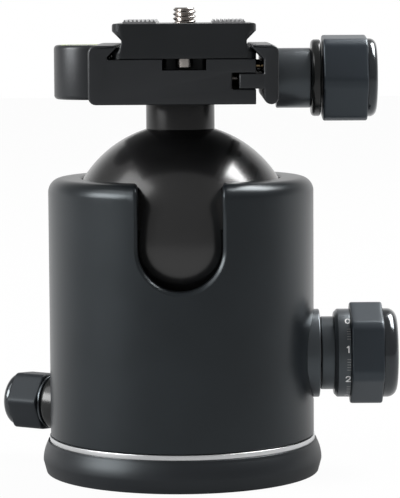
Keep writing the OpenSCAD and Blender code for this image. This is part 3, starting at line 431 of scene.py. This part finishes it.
def housing_grid():
    """Closed grid: one section for each point of the rim. A section climbs the skin from the foot to the
    rounding, turns over it on the curve (1-t)^2 A + 2t(1-t) C + t^2 B, which the notch draws nearer to its
    chord, goes along the notch wall or the lip, and returns down the bore. Points that would come nearer to
    the ball than its clearance are pushed out to it."""
    clear_r, low_r, edge_r = ball_r + 0.3, body_r - 2.88, body_r - 0.35
    bore_end, notch_depth, flat_draw = 22.5, 12, 0.8
    path, into, n_low, n_side = rim_half()
    corner, normal = housing_skin(path[:, 0], path[:, 1])
    k = len(path)
    along = np.arange(k)

    # The rounding's size, its two ends A and B on the skin and on the inner wall, and A as (angle, v).
    rounding = np.interp(along, [0, n_side - 16, n_side - 6, n_side + 8, n_side + 30],
                         [1.05, 0.95, 1.2, 1.2, 1.0])[:, None]
    away = -unit(into - np.sum(into * normal, -1, keepdims=True) * normal)
    inward = -unit(normal - np.sum(normal * into, -1, keepdims=True) * into)
    end = corner + inward * rounding
    around = np.stack([np.cos(path[:, 0]), np.sin(path[:, 0]), 0 * path[:, 0]], 1)
    climb = np.cross(normal, around)
    climb *= np.sign(climb[:1, 2:3])
    radius = np.hypot(corner[:, 0], corner[:, 1])
    angle_a = path[:, 0] + rounding[:, 0] * np.sum(away * around, 1) / radius
    v_a = path[:, 1] + rounding[:, 0] * np.sum(away * climb, 1)

    # The skin, from the angle foot_a at the foot to A. Rows are shares of the whole length v.
    foot_a = np.interp(along, [0, n_low, n_side, n_side + 20, k - 1], np.radians([0, 19, 32, 44, 180]))
    crown_top = wall_v + arc_v
    full = crown_top + body_r - crown - mouth_r - 1
    rows = np.concatenate([[0.35], np.linspace(1.2, wall_v - 6, 20), np.linspace(wall_v - 6, wall_v, 5)[1:],
                           wall_v + arc_v * np.linspace(0, 1, 13)[1:],
                           np.linspace(crown_top, full, 5)[1:]]) / full
    rows[-1] = 1
    angle = foot_a[:, None] + (angle_a - foot_a)[:, None] * rows[None] ** 1.3
    skin, _ = housing_skin(angle, v_a[:, None] * rows[None])

    # The rounding itself, flatter along the notch.
    t = np.linspace(0, 1, 8)[1:, None]
    first = housing_skin(angle_a, v_a)[0][:, None]
    turn_over = (1 - t) ** 2 * first + 2 * t * (1 - t) * corner[:, None] + t**2 * end[:, None]
    bevel = np.interp(along, [0, n_side - 24, n_side - 8], [flat_draw, flat_draw, 0.0])[:, None, None]
    turn_over += bevel * ((1 - t) * first + t * end[:, None] - turn_over)

    # The inner wall: through the housing's wall in the notch, and down the lip's height round the mouth.
    depth_y = -np.sqrt(np.maximum(bore_r**2 - corner[:, 0] ** 2, 0)) - corner[:, 1]
    run = np.where(along < n_side, depth_y / np.maximum(inward[:, 1], 0.2), 0)
    run = np.where((along < n_side) & (run < notch_depth), run, lip_h)
    run = np.maximum(run, rounding[:, 0] + 0.05)
    wall_end = corner + inward * run[:, None]
    wall_end[:, 2] = np.maximum(wall_end[:, 2], np.where(wall_end[:, 1] < -bore_r + 4, 0, lip_z))
    walls = end[:, None] + (wall_end - end)[:, None] * np.linspace(0, 1, 4)[1:, None]

    # The bore, down to the carrier plate's seat, and the foot.
    bore_a, bore_z = np.arctan2(wall_end[:, 0], -wall_end[:, 1]), np.minimum(wall_end[:, 2], lip_z)
    s = np.linspace(0, 1, 7)[1:]
    a_in = bore_a[:, None] + (foot_a - bore_a)[:, None] * s[None] ** 2
    z_in = bore_z[:, None] + (bore_end - bore_z)[:, None] * s[None] ** 2
    ends = np.stack([on_circle(r, foot_a, np.full(k, z))
                     for r, z in ((low_r, bore_end), (low_r, body_z), (edge_r, body_z))], 1)

    upper = np.concatenate([skin, turn_over, walls], 1)
    d = upper - [0, 0, ball_z]
    dist = np.linalg.norm(d, axis=-1, keepdims=True)
    near = (upper[..., 2:3] > lip_z - 0.01) & (dist < clear_r)
    upper = np.where(near, [0, 0, ball_z] + d / dist * clear_r, upper)
    bore = np.concatenate([on_circle(bore_r, bore_a, bore_z)[:, None], on_circle(bore_r, a_in, z_in)], 1)
    half = np.concatenate([upper, bore, ends], 1)
    mirror = half[1:][::-1] * [-1, 1, 1]
    return np.concatenate([half, mirror])


housing = piece("housing_shell", [(housing_grid(), True)], satin_black, "housing_body",
                ["housing"], crease=28)
# A flat spot for the lock knob's collar, and the bore behind it.
collar_bore, spot_r = 7.02, dial_r + 0.6
spot_x = math.sqrt(body_r**2 - dial_r**2) - 0.1
profile = np.array([(0, bore_r - 2), (collar_bore, bore_r - 2), (collar_bore, spot_x), (spot_r, spot_x),
                    (spot_r, body_r + 9), (0, body_r + 9)])
cut(housing, turned(profile, X_SHAFT, 96), crease=28)

# ---- Ball and neck ----

t = np.linspace(-math.pi / 2, math.pi / 2, 97)
profile = ball_r * np.stack([np.cos(t), np.sin(t)], 1) + [0, ball_z]
piece("ball_sphere", [turned(profile, Z_AXIS, 192)], ball_black, "ball_body", ["ball"])
neck_r, neck_bore = neck_hi[0], 3.1
seat_z = ball_z + math.sqrt(ball_r**2 - neck_r**2) + 0.06
profile = rounded([(neck_bore, seat_z - 1), (neck_r - 1.2, seat_z - 1), (neck_r, seat_z, 0),
                   (neck_r, neck_hi[2], 0.25), (neck_bore, neck_hi[2])])
piece("neck_stem", [(turned(profile, Z_AXIS, 128), True)], neck_black, "neck_body", ["neck"])

# ---- Clamp ----

foot_l, foot_rt = plate_lo[0], plate_hi[0]
plate_x, plate_w = (foot_l + foot_rt) / 2, foot_rt - foot_l
plate_z, plate_top, plate_half = plate_lo[2], plate_hi[2], plate_hi[1]
clamp_z, jaw_top, half_l = clamp_lo[2], clamp_hi[2], clamp_hi[1]
floor_z, screw_z = jaw_top - 3.7, clamp_z + 6.1
wall_x, tongue_x = foot_l - 1.1, span("clamp_jaw")[0][0]
clamp_right, clamp_left = clamp_hi[0], wall_x - 5.2
foot_h, flank_gap, lip_edge, end_edge = 1.6, 0.1414, 0.6, 0.6
flank_z = plate_z + foot_h + flank_gap
pocket_hw, pocket_l, pocket_h = 5.8, 12, 2.9


def lean(z):
    """How far a 45 degree lip reaches over the plate's foot at the height z."""
    return z - plate_z - foot_h - flank_gap


slot_x, slot_h = tongue_x - 1.8, 2.15
lip_x = foot_l + lean(jaw_top - lip_edge)
section = [(clamp_left, clamp_z, 2.0), (clamp_right, clamp_z, 0.25), (clamp_right, screw_z - slot_h, 0.15),
           (slot_x, screw_z - slot_h, 0.3), (slot_x, screw_z + slot_h, 0.3),
           (clamp_right, screw_z + slot_h, 0.15), (clamp_right, floor_z, 0.3), (wall_x, floor_z, 0.3),
           (wall_x, flank_z - 1.1, 0.2),
           (lip_x, jaw_top - lip_edge, 0.25), (lip_x, jaw_top, 0.3), (clamp_left, jaw_top, 2.0)]
clamp = piece("clamp_body", [pushed(section, half_l, end_edge)], clamp_black, "clamp",
              ["clamp_base"], crease=40)
for side in (-1, 1):
    mouth_y, back_y = side * (half_l + 1), side * (half_l - pocket_l)
    pocket = [(plate_x - pocket_hw, mouth_y), (plate_x - pocket_hw, back_y, 1.2),
              (plate_x + pocket_hw, back_y, 1.2), (plate_x + pocket_hw, mouth_y)]
    cut(clamp, stacked(pocket, [(floor_z - pocket_h, 0), (floor_z + 1, 0)]), crease=40)
lobe_x, lobe_root, lobe_hw, lobe_r = clamp_lo[0], clamp_left + 2.5, 11.5, 10.5
plan = [(lobe_x, -lobe_hw, lobe_r), (lobe_root, -lobe_hw), (lobe_root, lobe_hw), (lobe_x, lobe_hw, lobe_r)]
grid = stacked(plan, round_levels(clamp_z + 0.7, jaw_top - 0.1, 1.1), arcs=14)
lobe = piece("level_lobe", [grid], clamp_black, "clamp")
level_lo, level_hi = span("level_cup")
level_r, level_z, cut_z = 6.02, level_lo[2], level_hi[2] + 1
profile = np.array([(0, level_z), (level_r, level_z), (level_r, cut_z), (0, cut_z)])
cut(lobe, turned(profile, upright_axis((level_lo[0] + level_hi[0]) / 2, 0), 64), crease=40)

# ---- Moving jaw ----

jaw_x, jaw_end, tongue_h = foot_rt + 1.9, span("clamp_jaw")[1][0], 2
nose = foot_rt - lean(jaw_top - lip_edge)
section = [(jaw_x, clamp_z, 2.0), (jaw_end, clamp_z, 1.9), (jaw_end, jaw_top, 1.9), (nose, jaw_top, 0.3),
           (nose, jaw_top - lip_edge, 0.25), (jaw_x, flank_z - 1.9, 0.3),
           (jaw_x, screw_z + tongue_h, 0.2), (tongue_x, screw_z + tongue_h, 0.3),
           (tongue_x, screw_z - tongue_h, 0.3), (jaw_x, screw_z - tongue_h, 0.2)]
piece("moving_jaw", [pushed(section, half_l, end_edge)], clamp_black, "jaw", ["clamp_jaw"],
      crease=40)

# ---- Camera plate ----


def plate_grid():
    """The plate's section pushed along Y; within 3 mm of its ends no point lies outside the corner circle
    of the plan, x = half width - (3 - sqrt(9 - (3 - depth)^2)), and the end edges are rounded."""
    hw, edge, corner_r, middle = plate_w / 2, 0.4, 3, 10
    waist, waist_lo, waist_hi, rim_z = hw - 2.5, plate_z + 4.1, plate_z + 4.9, plate_z + 7.4
    half = [(hw, plate_z, 0.2), (hw, plate_z + foot_h, 0.25), (waist, waist_lo, 0.4), (waist, waist_hi, 0.4),
            (hw, rim_z, 0.45), (hw, plate_top, 0.6)]
    corners = half + [(-x, z, r) for x, z, r in reversed(half)]
    t = np.linspace(0, math.pi / 2, 6)
    near = [rounded(corners, inset=edge * (1 - math.sin(a))) for a in t]
    flat = np.stack(near + [rounded(corners)] * middle)
    curve = 1 - np.cos(np.linspace(0.15, math.pi / 2, middle - 1))
    depth = np.concatenate([edge * (1 - np.cos(t)), edge + (corner_r - edge) * curve, [plate_half]])
    reach = np.maximum(corner_r - depth, 0)
    cap = hw - (corner_r - np.sqrt(np.maximum(corner_r**2 - reach**2, 0)))
    x = np.sign(flat[..., 0]) * np.minimum(np.abs(flat[..., 0]), cap[:, None])
    front = np.stack([x + plate_x, np.broadcast_to(depth[:, None] - plate_half, x.shape), flat[..., 1]], -1)
    return np.concatenate([front, front[:-1][::-1] * [1, -1, 1]])


def slot_shell(width, lo, hi):
    """A slot of the width from lo to hi, whose end circles are centred 10 mm each way along the plate."""
    w, l = width / 2, 10 + width / 2
    corners = [(plate_x + a * w, b * l, w * 0.999) for a, b in ((-1, -1), (1, -1), (1, 1), (-1, 1))]
    return stacked(corners, [(lo, 0), (hi, 0)], arcs=12)


plate = piece("quick_plate", [plate_grid()], plate_black, "plate", ["camera_plate"],
              crease=40)
cut(plate, slot_shell(6.75, plate_top - 5, plate_top + 1), crease=40)
cut(plate, slot_shell(14.4, plate_z - 1, plate_top - 4.1), crease=40)
pads_hi = span("plate_pads")[1]
pad_x, pad_hw, ribs, rib_top, valley = 11.8, 4.38, 8, pads_hi[2], pads_hi[2] - 0.5
pads = []
for side in (-1, 1):
    lo, hi = plate_x + side * pad_x - pad_hw, plate_x + side * pad_x + pad_hw
    pitch = (hi - lo) / ribs
    teeth = [(lo + (i + a) * pitch, z) for i in range(ribs)
             for a, z in ((0.0, valley), (0.22, valley), (0.36, rib_top), (0.64, rib_top), (0.78, valley))]
    section = [(hi, plate_top - 0.4), (lo, plate_top - 0.4)] + teeth + [(hi, valley)]
    pads.append(pushed(section, pads_hi[1], 0.04, steps=2))
piece("ribbed_pads", pads, pad_rubber_painted_glare, "plate", ["plate_pads"], crease=25)


def threaded(axis, crest, pitch, depth, lo, hi, sides=64):
    """Screw thread: radius(angle, height) = crest - depth * wave, where wave is a flattened triangle of
    (height / pitch - angle / turn), and the upper end tapers to the core."""
    origin, along, front, up = axis
    rows_per_turn, taper = 24, 0.7
    h = np.linspace(lo, hi, int((hi - lo) / pitch * rows_per_turn))
    a = TAU * np.arange(sides) / sides
    phase = (h[:, None] / pitch - a[None] / TAU) % 1
    wave = np.clip(np.abs(phase - 0.5) * 2.6 - 0.15, 0, 1)
    ease = np.clip((hi - h) / taper, 0, 1)[:, None]
    r = np.minimum(crest - depth * wave, (crest - depth) + depth * ease + 0.05)
    pole = np.zeros((1, sides))
    h, r = np.concatenate([[lo], h, [hi]]), np.concatenate([pole, r, pole])
    return origin + h[:, None, None] * along + r[..., None] * (np.cos(a)[None, :, None] * front
                                                               + np.sin(a)[None, :, None] * up)


screw_lo, screw_hi = span("camera_screw")
SCREW = upright_axis(plate_x, 0)
head_r, head_h, shank_r = 6.8, 3.6, 2.4
thread_r, thread_pitch, thread_depth, thread_short = 3.175, 1.27, 0.62, 1.1
head_z = screw_lo[2] + head_h
profile = rounded([(0, screw_lo[2]), (head_r, screw_lo[2], 0.4), (head_r, head_z, 0.2), (shank_r, head_z),
                   (shank_r, plate_top + 0.3), (0, plate_top + 0.3)], closed=False)
thread = threaded(SCREW, thread_r, thread_pitch, thread_depth, plate_top - 0.2, screw_hi[2] - thread_short)
piece("mount_thread", [turned(profile, SCREW, 96), thread], bright_steel, "mount_screw",
      ["camera_screw"], crease=50)
stop_lo, stop_hi = span("stop_screws")
stop_r, socket_r, socket_z, stem_r, stem_z = 2.25, 1.1, stop_lo[2] + 1.2, 1.5, plate_z - 0.02
profile = rounded([(0, socket_z), (socket_r, socket_z), (socket_r, stop_lo[2], 0.1),
                   (stop_r, stop_lo[2], 0.3), (stop_r, stem_z, 0), (stem_r, stem_z), (stem_r, stop_hi[2]),
                   (0, stop_hi[2])], closed=False)
stops = [turned(profile, upright_axis(plate_x, side * (stop_hi[1] - stop_r)), 64) for side in (-1, 1)]
piece("stop_screw_pair", stops, bright_steel, "plate", ["stop_screws"])

# ---- Clamp knob ----

X_CLAMP = cross_axis(0, screw_z)
screw_bore, flange_r, flange_w, hub_r = 2.6, 10.5, 2.6, 6
collar_lo, collar_hi = span("jaw_collar")
core_lo, core_hi = span("clamp_knob_core")
collar_r = collar_hi[1]
profile = rounded([(screw_bore, collar_lo[0]), (collar_r, collar_lo[0], 0.4), (collar_r, collar_hi[0], 0.4),
                   (screw_bore, collar_hi[0])])
piece("jaw_boss", [(turned(profile, X_CLAMP), True)], knob_metal, "jaw", ["jaw_collar"])
flange_end = core_lo[0] + flange_w
profile = rounded([(screw_bore, core_lo[0]), (flange_r, core_lo[0], 1.0), (flange_r, flange_end, 0.6),
                   (hub_r, flange_end), (hub_r, core_hi[0]), (screw_bore, core_hi[0])])
piece("clamp_knob_flange", [(turned(profile, X_CLAMP), True)], flange_black, "clamp_knob",
      ["clamp_knob_core"])
grip_start, grip_end = span("clamp_grip")[0][0] + 0.4, span("clamp_grip")[1][0] + 0.6
flats, corner_r, edge, turn = 22.5, 12.3, 0.6, math.radians(54)
grip_l = grip_end - grip_start
grip = hex_grip(cross_axis(grip_start, screw_z), grip_l, flats, corner_r, edge, turn, hub_r + 0.02)
piece("clamp_knob_grip", [(grip, True)], grip_rubber, "clamp_knob", ["clamp_grip"])
cap_r, cap_end = 10.7, span("clamp_cap")[1][0]
profile = rounded([(0, grip_end), (cap_r, grip_end, 0.15), (cap_r, cap_end, 1.9), (0, cap_end)],
                  closed=False, steps=12)
piece("clamp_knob_cap", [turned(profile, X_CLAMP)], gloss_black, "clamp_knob", ["clamp_cap"])

# ---- Lock knob and its dial ----

shaft_bore, bush_r, neck_out, hub_r = 4.06, 7, 10.1, 8.6
profile = rounded([(shaft_bore, bore_r - 0.1), (bush_r, bore_r - 0.1), (bush_r, spot_x), (dial_r, spot_x),
                   (dial_r, bush_hi[0], 0.4), (shaft_bore, bush_hi[0])])
piece("lock_collar", [(turned(profile, X_SHAFT), True)], knob_metal, "housing_body",
      ["lock_bush"])
core_lo, core_hi = span("lock_knob_core")
dial_lo, dial_hi = span("tension_dial")
neck_end, dial_bore, bevel = dial_lo[0] - 0.1, hub_r + 0.05, 0.9
profile = rounded([(shaft_bore, core_lo[0]), (neck_out, core_lo[0], 0.3), (neck_out, neck_end),
                   (hub_r, neck_end), (hub_r, core_hi[0]), (shaft_bore, core_hi[0])])
piece("lock_knob_neck", [(turned(profile, X_SHAFT), True)], knob_metal, "lock_knob",
      ["lock_knob_core"])
profile = rounded([(dial_bore, dial_lo[0]), (dial_r - bevel, dial_lo[0], 0.2),
                   (dial_r, dial_lo[0] + bevel, 0.2), (dial_r, dial_hi[0], 0.15), (dial_bore, dial_hi[0])])
piece("friction_dial", [(turned(profile, X_SHAFT, 160), True)], knob_metal, "dial",
      ["tension_dial"])
grip_lo, grip_hi = span("lock_grip")
flats, corner_r, edge, turn = 25.4, 14, 0.6, math.radians(39.5)
grip_l = grip_hi[0] - grip_lo[0]
grip = hex_grip(cross_axis(grip_lo[0], shaft_z), grip_l, flats, corner_r, edge, turn, hub_r + 0.02)
piece("lock_knob_grip", [(grip, True)], grip_rubber, "lock_knob", ["lock_grip"])
cap_lo, cap_hi = span("lock_cap")
cap_r = 12.3
profile = rounded([(0, cap_lo[0]), (cap_r, cap_lo[0], 0.15), (cap_r, cap_hi[0], 2.8), (0, cap_hi[0])],
                  closed=False, steps=14)
piece("lock_knob_cap", [turned(profile, X_SHAFT)], gloss_black, "lock_knob", ["lock_cap"])

# Each digit is one stroke in a box of 1 by 1.
DIGITS = (
    [(0.5, 0), (0.12, 0.12), (0.0, 0.5), (0.12, 0.88), (0.5, 1), (0.88, 0.88), (1.0, 0.5), (0.88, 0.12),
     (0.5, 0)],
    [(0.25, 0.78), (0.6, 1), (0.6, 0)],
    [(0.02, 0.76), (0.15, 0.95), (0.5, 1), (0.88, 0.92), (0.95, 0.7), (0.75, 0.45), (0.0, 0.0), (1.0, 0.0)],
    [(0.05, 0.88), (0.45, 1), (0.88, 0.86), (0.85, 0.62), (0.45, 0.54), (0.9, 0.44), (0.95, 0.18), (0.5, 0),
     (0.03, 0.12)],
    [(0.75, 0), (0.75, 1), (0.0, 0.32), (1.0, 0.32)],
    [(0.92, 1), (0.15, 1), (0.08, 0.58), (0.5, 0.64), (0.92, 0.5), (0.94, 0.2), (0.5, 0), (0.03, 0.12)],
    [(0.85, 0.94), (0.45, 0.98), (0.08, 0.6), (0.03, 0.25), (0.3, 0.02), (0.75, 0.04), (0.97, 0.3),
     (0.75, 0.56), (0.3, 0.56), (0.06, 0.35)],
    [(0.0, 1), (1.0, 1), (0.4, 0)],
)


def ink_stroke(points, width, x0, angle0, size):
    """A line of ink on the dial: a flat band of the width follows the points, placed along the axis and
    round the dial, angle = angle0 + height / radius. It stands 0.03 mm proud and sinks in by 0.05 mm."""
    p = thicken(np.array(points, float) * size, 0.12)
    d = unit(np.gradient(p, axis=0))
    side = np.stack([-d[:, 1], d[:, 0]], 1) * width / 2
    p[0], p[-1] = p[0] - d[0] * width / 2, p[-1] + d[-1] * width / 2
    flat = np.stack([p + side, p - side, p - side, p + side], 1)
    r = dial_r + np.array([0.03, 0.03, -0.05, -0.05])
    a = angle0 + flat[..., 1] / dial_r
    return np.stack([x0 + flat[..., 0], -r * np.cos(a), shaft_z + r * np.sin(a)], -1)


first_angle, number_step = math.radians(52.6), math.radians(40.6)
digit_size, digit_x, digit_stroke = np.array([1.2, 1.7]), 1.42, 0.34
tick_size, tick_x, tick_stroke, tick_pitch = np.array([0.9, 1]), 1.05, 0.16, 0.75
numbers, ticks = [], []
for digit, stroke in enumerate(DIGITS):
    angle = first_angle - number_step * digit
    low_edge = angle - digit_size[1] / 2 / dial_r
    numbers.append(ink_stroke(stroke, digit_stroke, dial_hi[0] - digit_x, low_edge, digit_size))
    if digit < len(DIGITS) - 1:
        for i in range(-2, 3):
            low_edge = angle - number_step / 2 + i * tick_pitch / dial_r
            ticks.append(ink_stroke([(0, 0), (1, 0)], tick_stroke, dial_hi[0] - tick_x, low_edge, tick_size))
piece("dial_numbers", numbers, white_ink, "dial", crease=60)
piece("dial_ticks", ticks, grey_ink, "dial", crease=60)

# ---- Pan knob ----

pan_angle, pan_z = math.radians(150), body_z + 5.5
PAN = axis_frame((0, 0, pan_z), (math.cos(pan_angle), math.sin(pan_angle), 0),
                 (-math.sin(pan_angle), math.cos(pan_angle), 0), (0, 0, 1))
pan_bore, stem_r, stem_start, collar_r = 2.56, 5, body_r - 2.6, 7.9
collar_start, collar_end = body_r + 1.5, body_r + 6.2
profile = rounded([(pan_bore, stem_start), (stem_r, stem_start), (stem_r, collar_start),
                   (collar_r, collar_start, 0.5), (collar_r, collar_end, 1.4), (pan_bore, collar_end)])
piece("pan_collar", [(turned(profile, PAN), True)], flange_black, "housing_body", ["pan_bush"])
knob_start, washer_r, hub_r = body_r + 6.4, 7.6, 4.5
washer_end, hub_end, bore_end = knob_start + 0.5, knob_start + 10.2, knob_start + 9.5
profile = rounded([(0, bore_end), (2.54, bore_end), (2.54, knob_start), (washer_r, knob_start, 0.1),
                   (washer_r, washer_end), (hub_r, washer_end), (hub_r, hub_end), (0, hub_end)], closed=False)
piece("pan_knob_washer", [turned(profile, PAN)], knob_metal, "pan_knob", ["pan_knob_core"])
grip_axis = axis_frame(PAN[0] + washer_end * PAN[1], *PAN[1:])
flats, corner_r, edge, turn = 15.6, 8.7, 0.5, math.radians(4.6)
grip = hex_grip(grip_axis, hub_end - washer_end, flats, corner_r, edge, turn, hub_r + 0.02)
piece("pan_knob_grip", [(grip, True)], small_rubber, "pan_knob", ["pan_grip"])
cap_r, cap_end = 7.6, hub_end + 2.6
profile = rounded([(0, hub_end), (cap_r, hub_end, 0.1), (cap_r, cap_end, 2.1), (0, cap_end)],
                  closed=False, steps=12)
piece("pan_knob_cap", [turned(profile, PAN)], gloss_black, "pan_knob", ["pan_cap"])

# ---- CAD nodes that stay, with their finishes ----

KEPT = {
    "thread_insert": bright_steel, "spindle": raw_aluminium, "retaining_flange": raw_aluminium,
    "spindle_screws": dark_steel, "glide_washer": bearing_black, "carrier_plate": raw_aluminium,
    "upper_race": bearing_black, "lock_wedge": bronze, "brake_cup": bearing_black, "lock_shaft": bright_steel,
    "shaft_clip": dark_steel, "pan_pad": bronze, "pan_screw": bright_steel, "neck_bolt": dark_steel,
    "level_cup": level_green, "level_glass": level_clear, "guide_pins": bronze, "jaw_springs": spring_steel,
    "clamp_screw": bright_steel, "screw_washer": bright_steel,
}
for node, material in KEPT.items():
    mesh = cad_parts[node].data
    mesh.materials.clear()
    mesh.materials.append(material)

# ---- Studio ----


def studio_world(room=0.27, wall=0.95, even=0.28):
    """White for the camera and through glass. Mirror rays see a white backdrop behind the object and a dim
    room in front of it and above, level = room + (wall - room) * smoothstep(y - 1.3 z of the direction).
    Everything else gets an even light."""
    world = bpy.data.worlds.new("studio")
    bpy.context.scene.world = world
    world.use_nodes = True
    nt = world.node_tree
    link, back = nt.links.new, nt.nodes["Background"]
    back.inputs["Color"].default_value = (1, 1, 1, 1)
    path, coord = add(nt, "LightPath"), add(nt, "TexCoord")
    lean_back = add(nt, "VectorMath", {1: (0, 1, -1.3)}, operation="DOT_PRODUCT")
    shade = add(nt, "MapRange", {"From Min": -0.12, "From Max": 0.7, "To Min": room, "To Max": wall},
                interpolation_type="SMOOTHSTEP")
    gloss, clear = add(nt, "Mix", {"A": even}), add(nt, "Math", operation="MAXIMUM")
    strength = add(nt, "Mix", {"B": 1.0})
    link(coord.outputs["Generated"], lean_back.inputs[0])
    link(lean_back.outputs["Value"], shade.inputs["Value"])
    link(path.outputs["Is Glossy Ray"], gloss.inputs["Factor"])
    link(shade.outputs["Result"], gloss.inputs["B"])
    link(path.outputs["Is Camera Ray"], clear.inputs[0])
    link(path.outputs["Is Transmission Ray"], clear.inputs[1])
    link(clear.outputs[0], strength.inputs["Factor"])
    link(gloss.outputs["Result"], strength.inputs["A"])
    link(strength.outputs["Result"], back.inputs["Strength"])


def studio_floor(size=3.0, z=-0.0001, seen=0.97, mirrored=0.7, near=0.32):
    """A plain pale floor just under the base. It glows white for the camera by the share seen, and keeps a
    shadow in the rest. Mirror rays see it glow by the share mirrored, dim in front and white behind."""
    mesh = bpy.data.meshes.new("floor")
    corners = [(-size, -size, z), (size, -size, z), (size, size, z), (-size, size, z)]
    mesh.from_pydata(corners, [], [(0, 1, 2, 3)])
    floor = bpy.data.objects.new("floor", mesh)
    bpy.context.scene.collection.objects.link(floor)
    mat = bpy.data.materials.new("pale floor")
    mat.use_nodes = True
    nt = mat.node_tree
    link, bsdf = nt.links.new, nt.nodes["Principled BSDF"]
    bsdf.inputs["Base Color"].default_value = (0.50, 0.50, 0.50, 1)
    bsdf.inputs["Roughness"].default_value = 0.9
    path, coord, split, glow = (add(nt, kind)
                                for kind in ("LightPath", "TexCoord", "SeparateXYZ", "Emission"))
    share = add(nt, "Math", {1: seen}, operation="MULTIPLY")
    gloss = add(nt, "Math", {1: mirrored}, operation="MULTIPLY_ADD")
    behind = add(nt, "MapRange", {"From Min": -0.15, "From Max": 0.3, "To Min": near},
                 interpolation_type="SMOOTHSTEP")
    strength, mix = add(nt, "Math", operation="MAXIMUM"), add(nt, "MixShader")
    link(coord.outputs["Object"], split.inputs["Vector"])
    link(split.outputs["Y"], behind.inputs["Value"])
    link(path.outputs["Is Camera Ray"], strength.inputs[0])
    link(behind.outputs["Result"], strength.inputs[1])
    link(strength.outputs[0], glow.inputs["Strength"])
    link(path.outputs["Is Camera Ray"], share.inputs[0])
    link(path.outputs["Is Glossy Ray"], gloss.inputs[0])
    link(share.outputs[0], gloss.inputs[2])
    link(gloss.outputs[0], mix.inputs[0])
    link(bsdf.outputs[0], mix.inputs[1])
    link(glow.outputs[0], mix.inputs[2])
    link(mix.outputs[0], nt.nodes["Material Output"].inputs["Surface"])
    mesh.materials.append(mat)


def softbox(name, direction, distance, width, height, power, aim=(0, 0, 0.07)):
    """An area lamp that stands in the direction from the aim and faces it."""
    data = bpy.data.lights.new(name, "AREA")
    data.shape, data.size, data.size_y, data.energy = "RECTANGLE", width, height, power
    lamp = bpy.data.objects.new(name, data)
    bpy.context.scene.collection.objects.link(lamp)
    way = Vector(direction).normalized()
    lamp.location = Vector(aim) + way * distance
    lamp.rotation_euler = way.to_track_quat("Z", "Y").to_euler()


def camera(place=(0.00518, -0.6898, 0.1271), focal_px=2509.3, frame_px=498, down=5.442, roll=-0.35):
    """In front and a little above, turned down and rolled by small angles in degrees. The lens gives the
    focal length of focal_px pixels in a frame frame_px high."""
    data = bpy.data.cameras.new("camera")
    data.sensor_width = 36
    data.lens = focal_px * 36 / frame_px
    data.clip_start, data.clip_end = 0.05, 20
    obj = bpy.data.objects.new("camera", data)
    bpy.context.scene.collection.objects.link(obj)
    pitch, roll = math.radians(down), math.radians(roll)
    right, up = Vector((1, 0, 0)), Vector((0, math.sin(pitch), math.cos(pitch)))
    back = Vector((0, -math.cos(pitch), math.sin(pitch)))
    across = right * math.cos(roll) + up * math.sin(roll)
    upward = up * math.cos(roll) - right * math.sin(roll)
    obj.matrix_world = Matrix.Translation(place) @ Matrix((across, upward, back)).transposed().to_4x4()
    bpy.context.scene.camera = obj


studio_world()
studio_floor()
softbox("left strip", (-0.85, -0.35, 0.32), 1.4, 0.85, 0.60, 17)
softbox("left softbox", (-0.68, -0.24, 0.68), 1.4, 0.95, 0.65, 4.5)
softbox("right softbox", (0.52, 0.29, 0.80), 1.2, 0.90, 0.58, 25)
camera()
bpy.context.scene.view_settings.view_transform = "Standard"
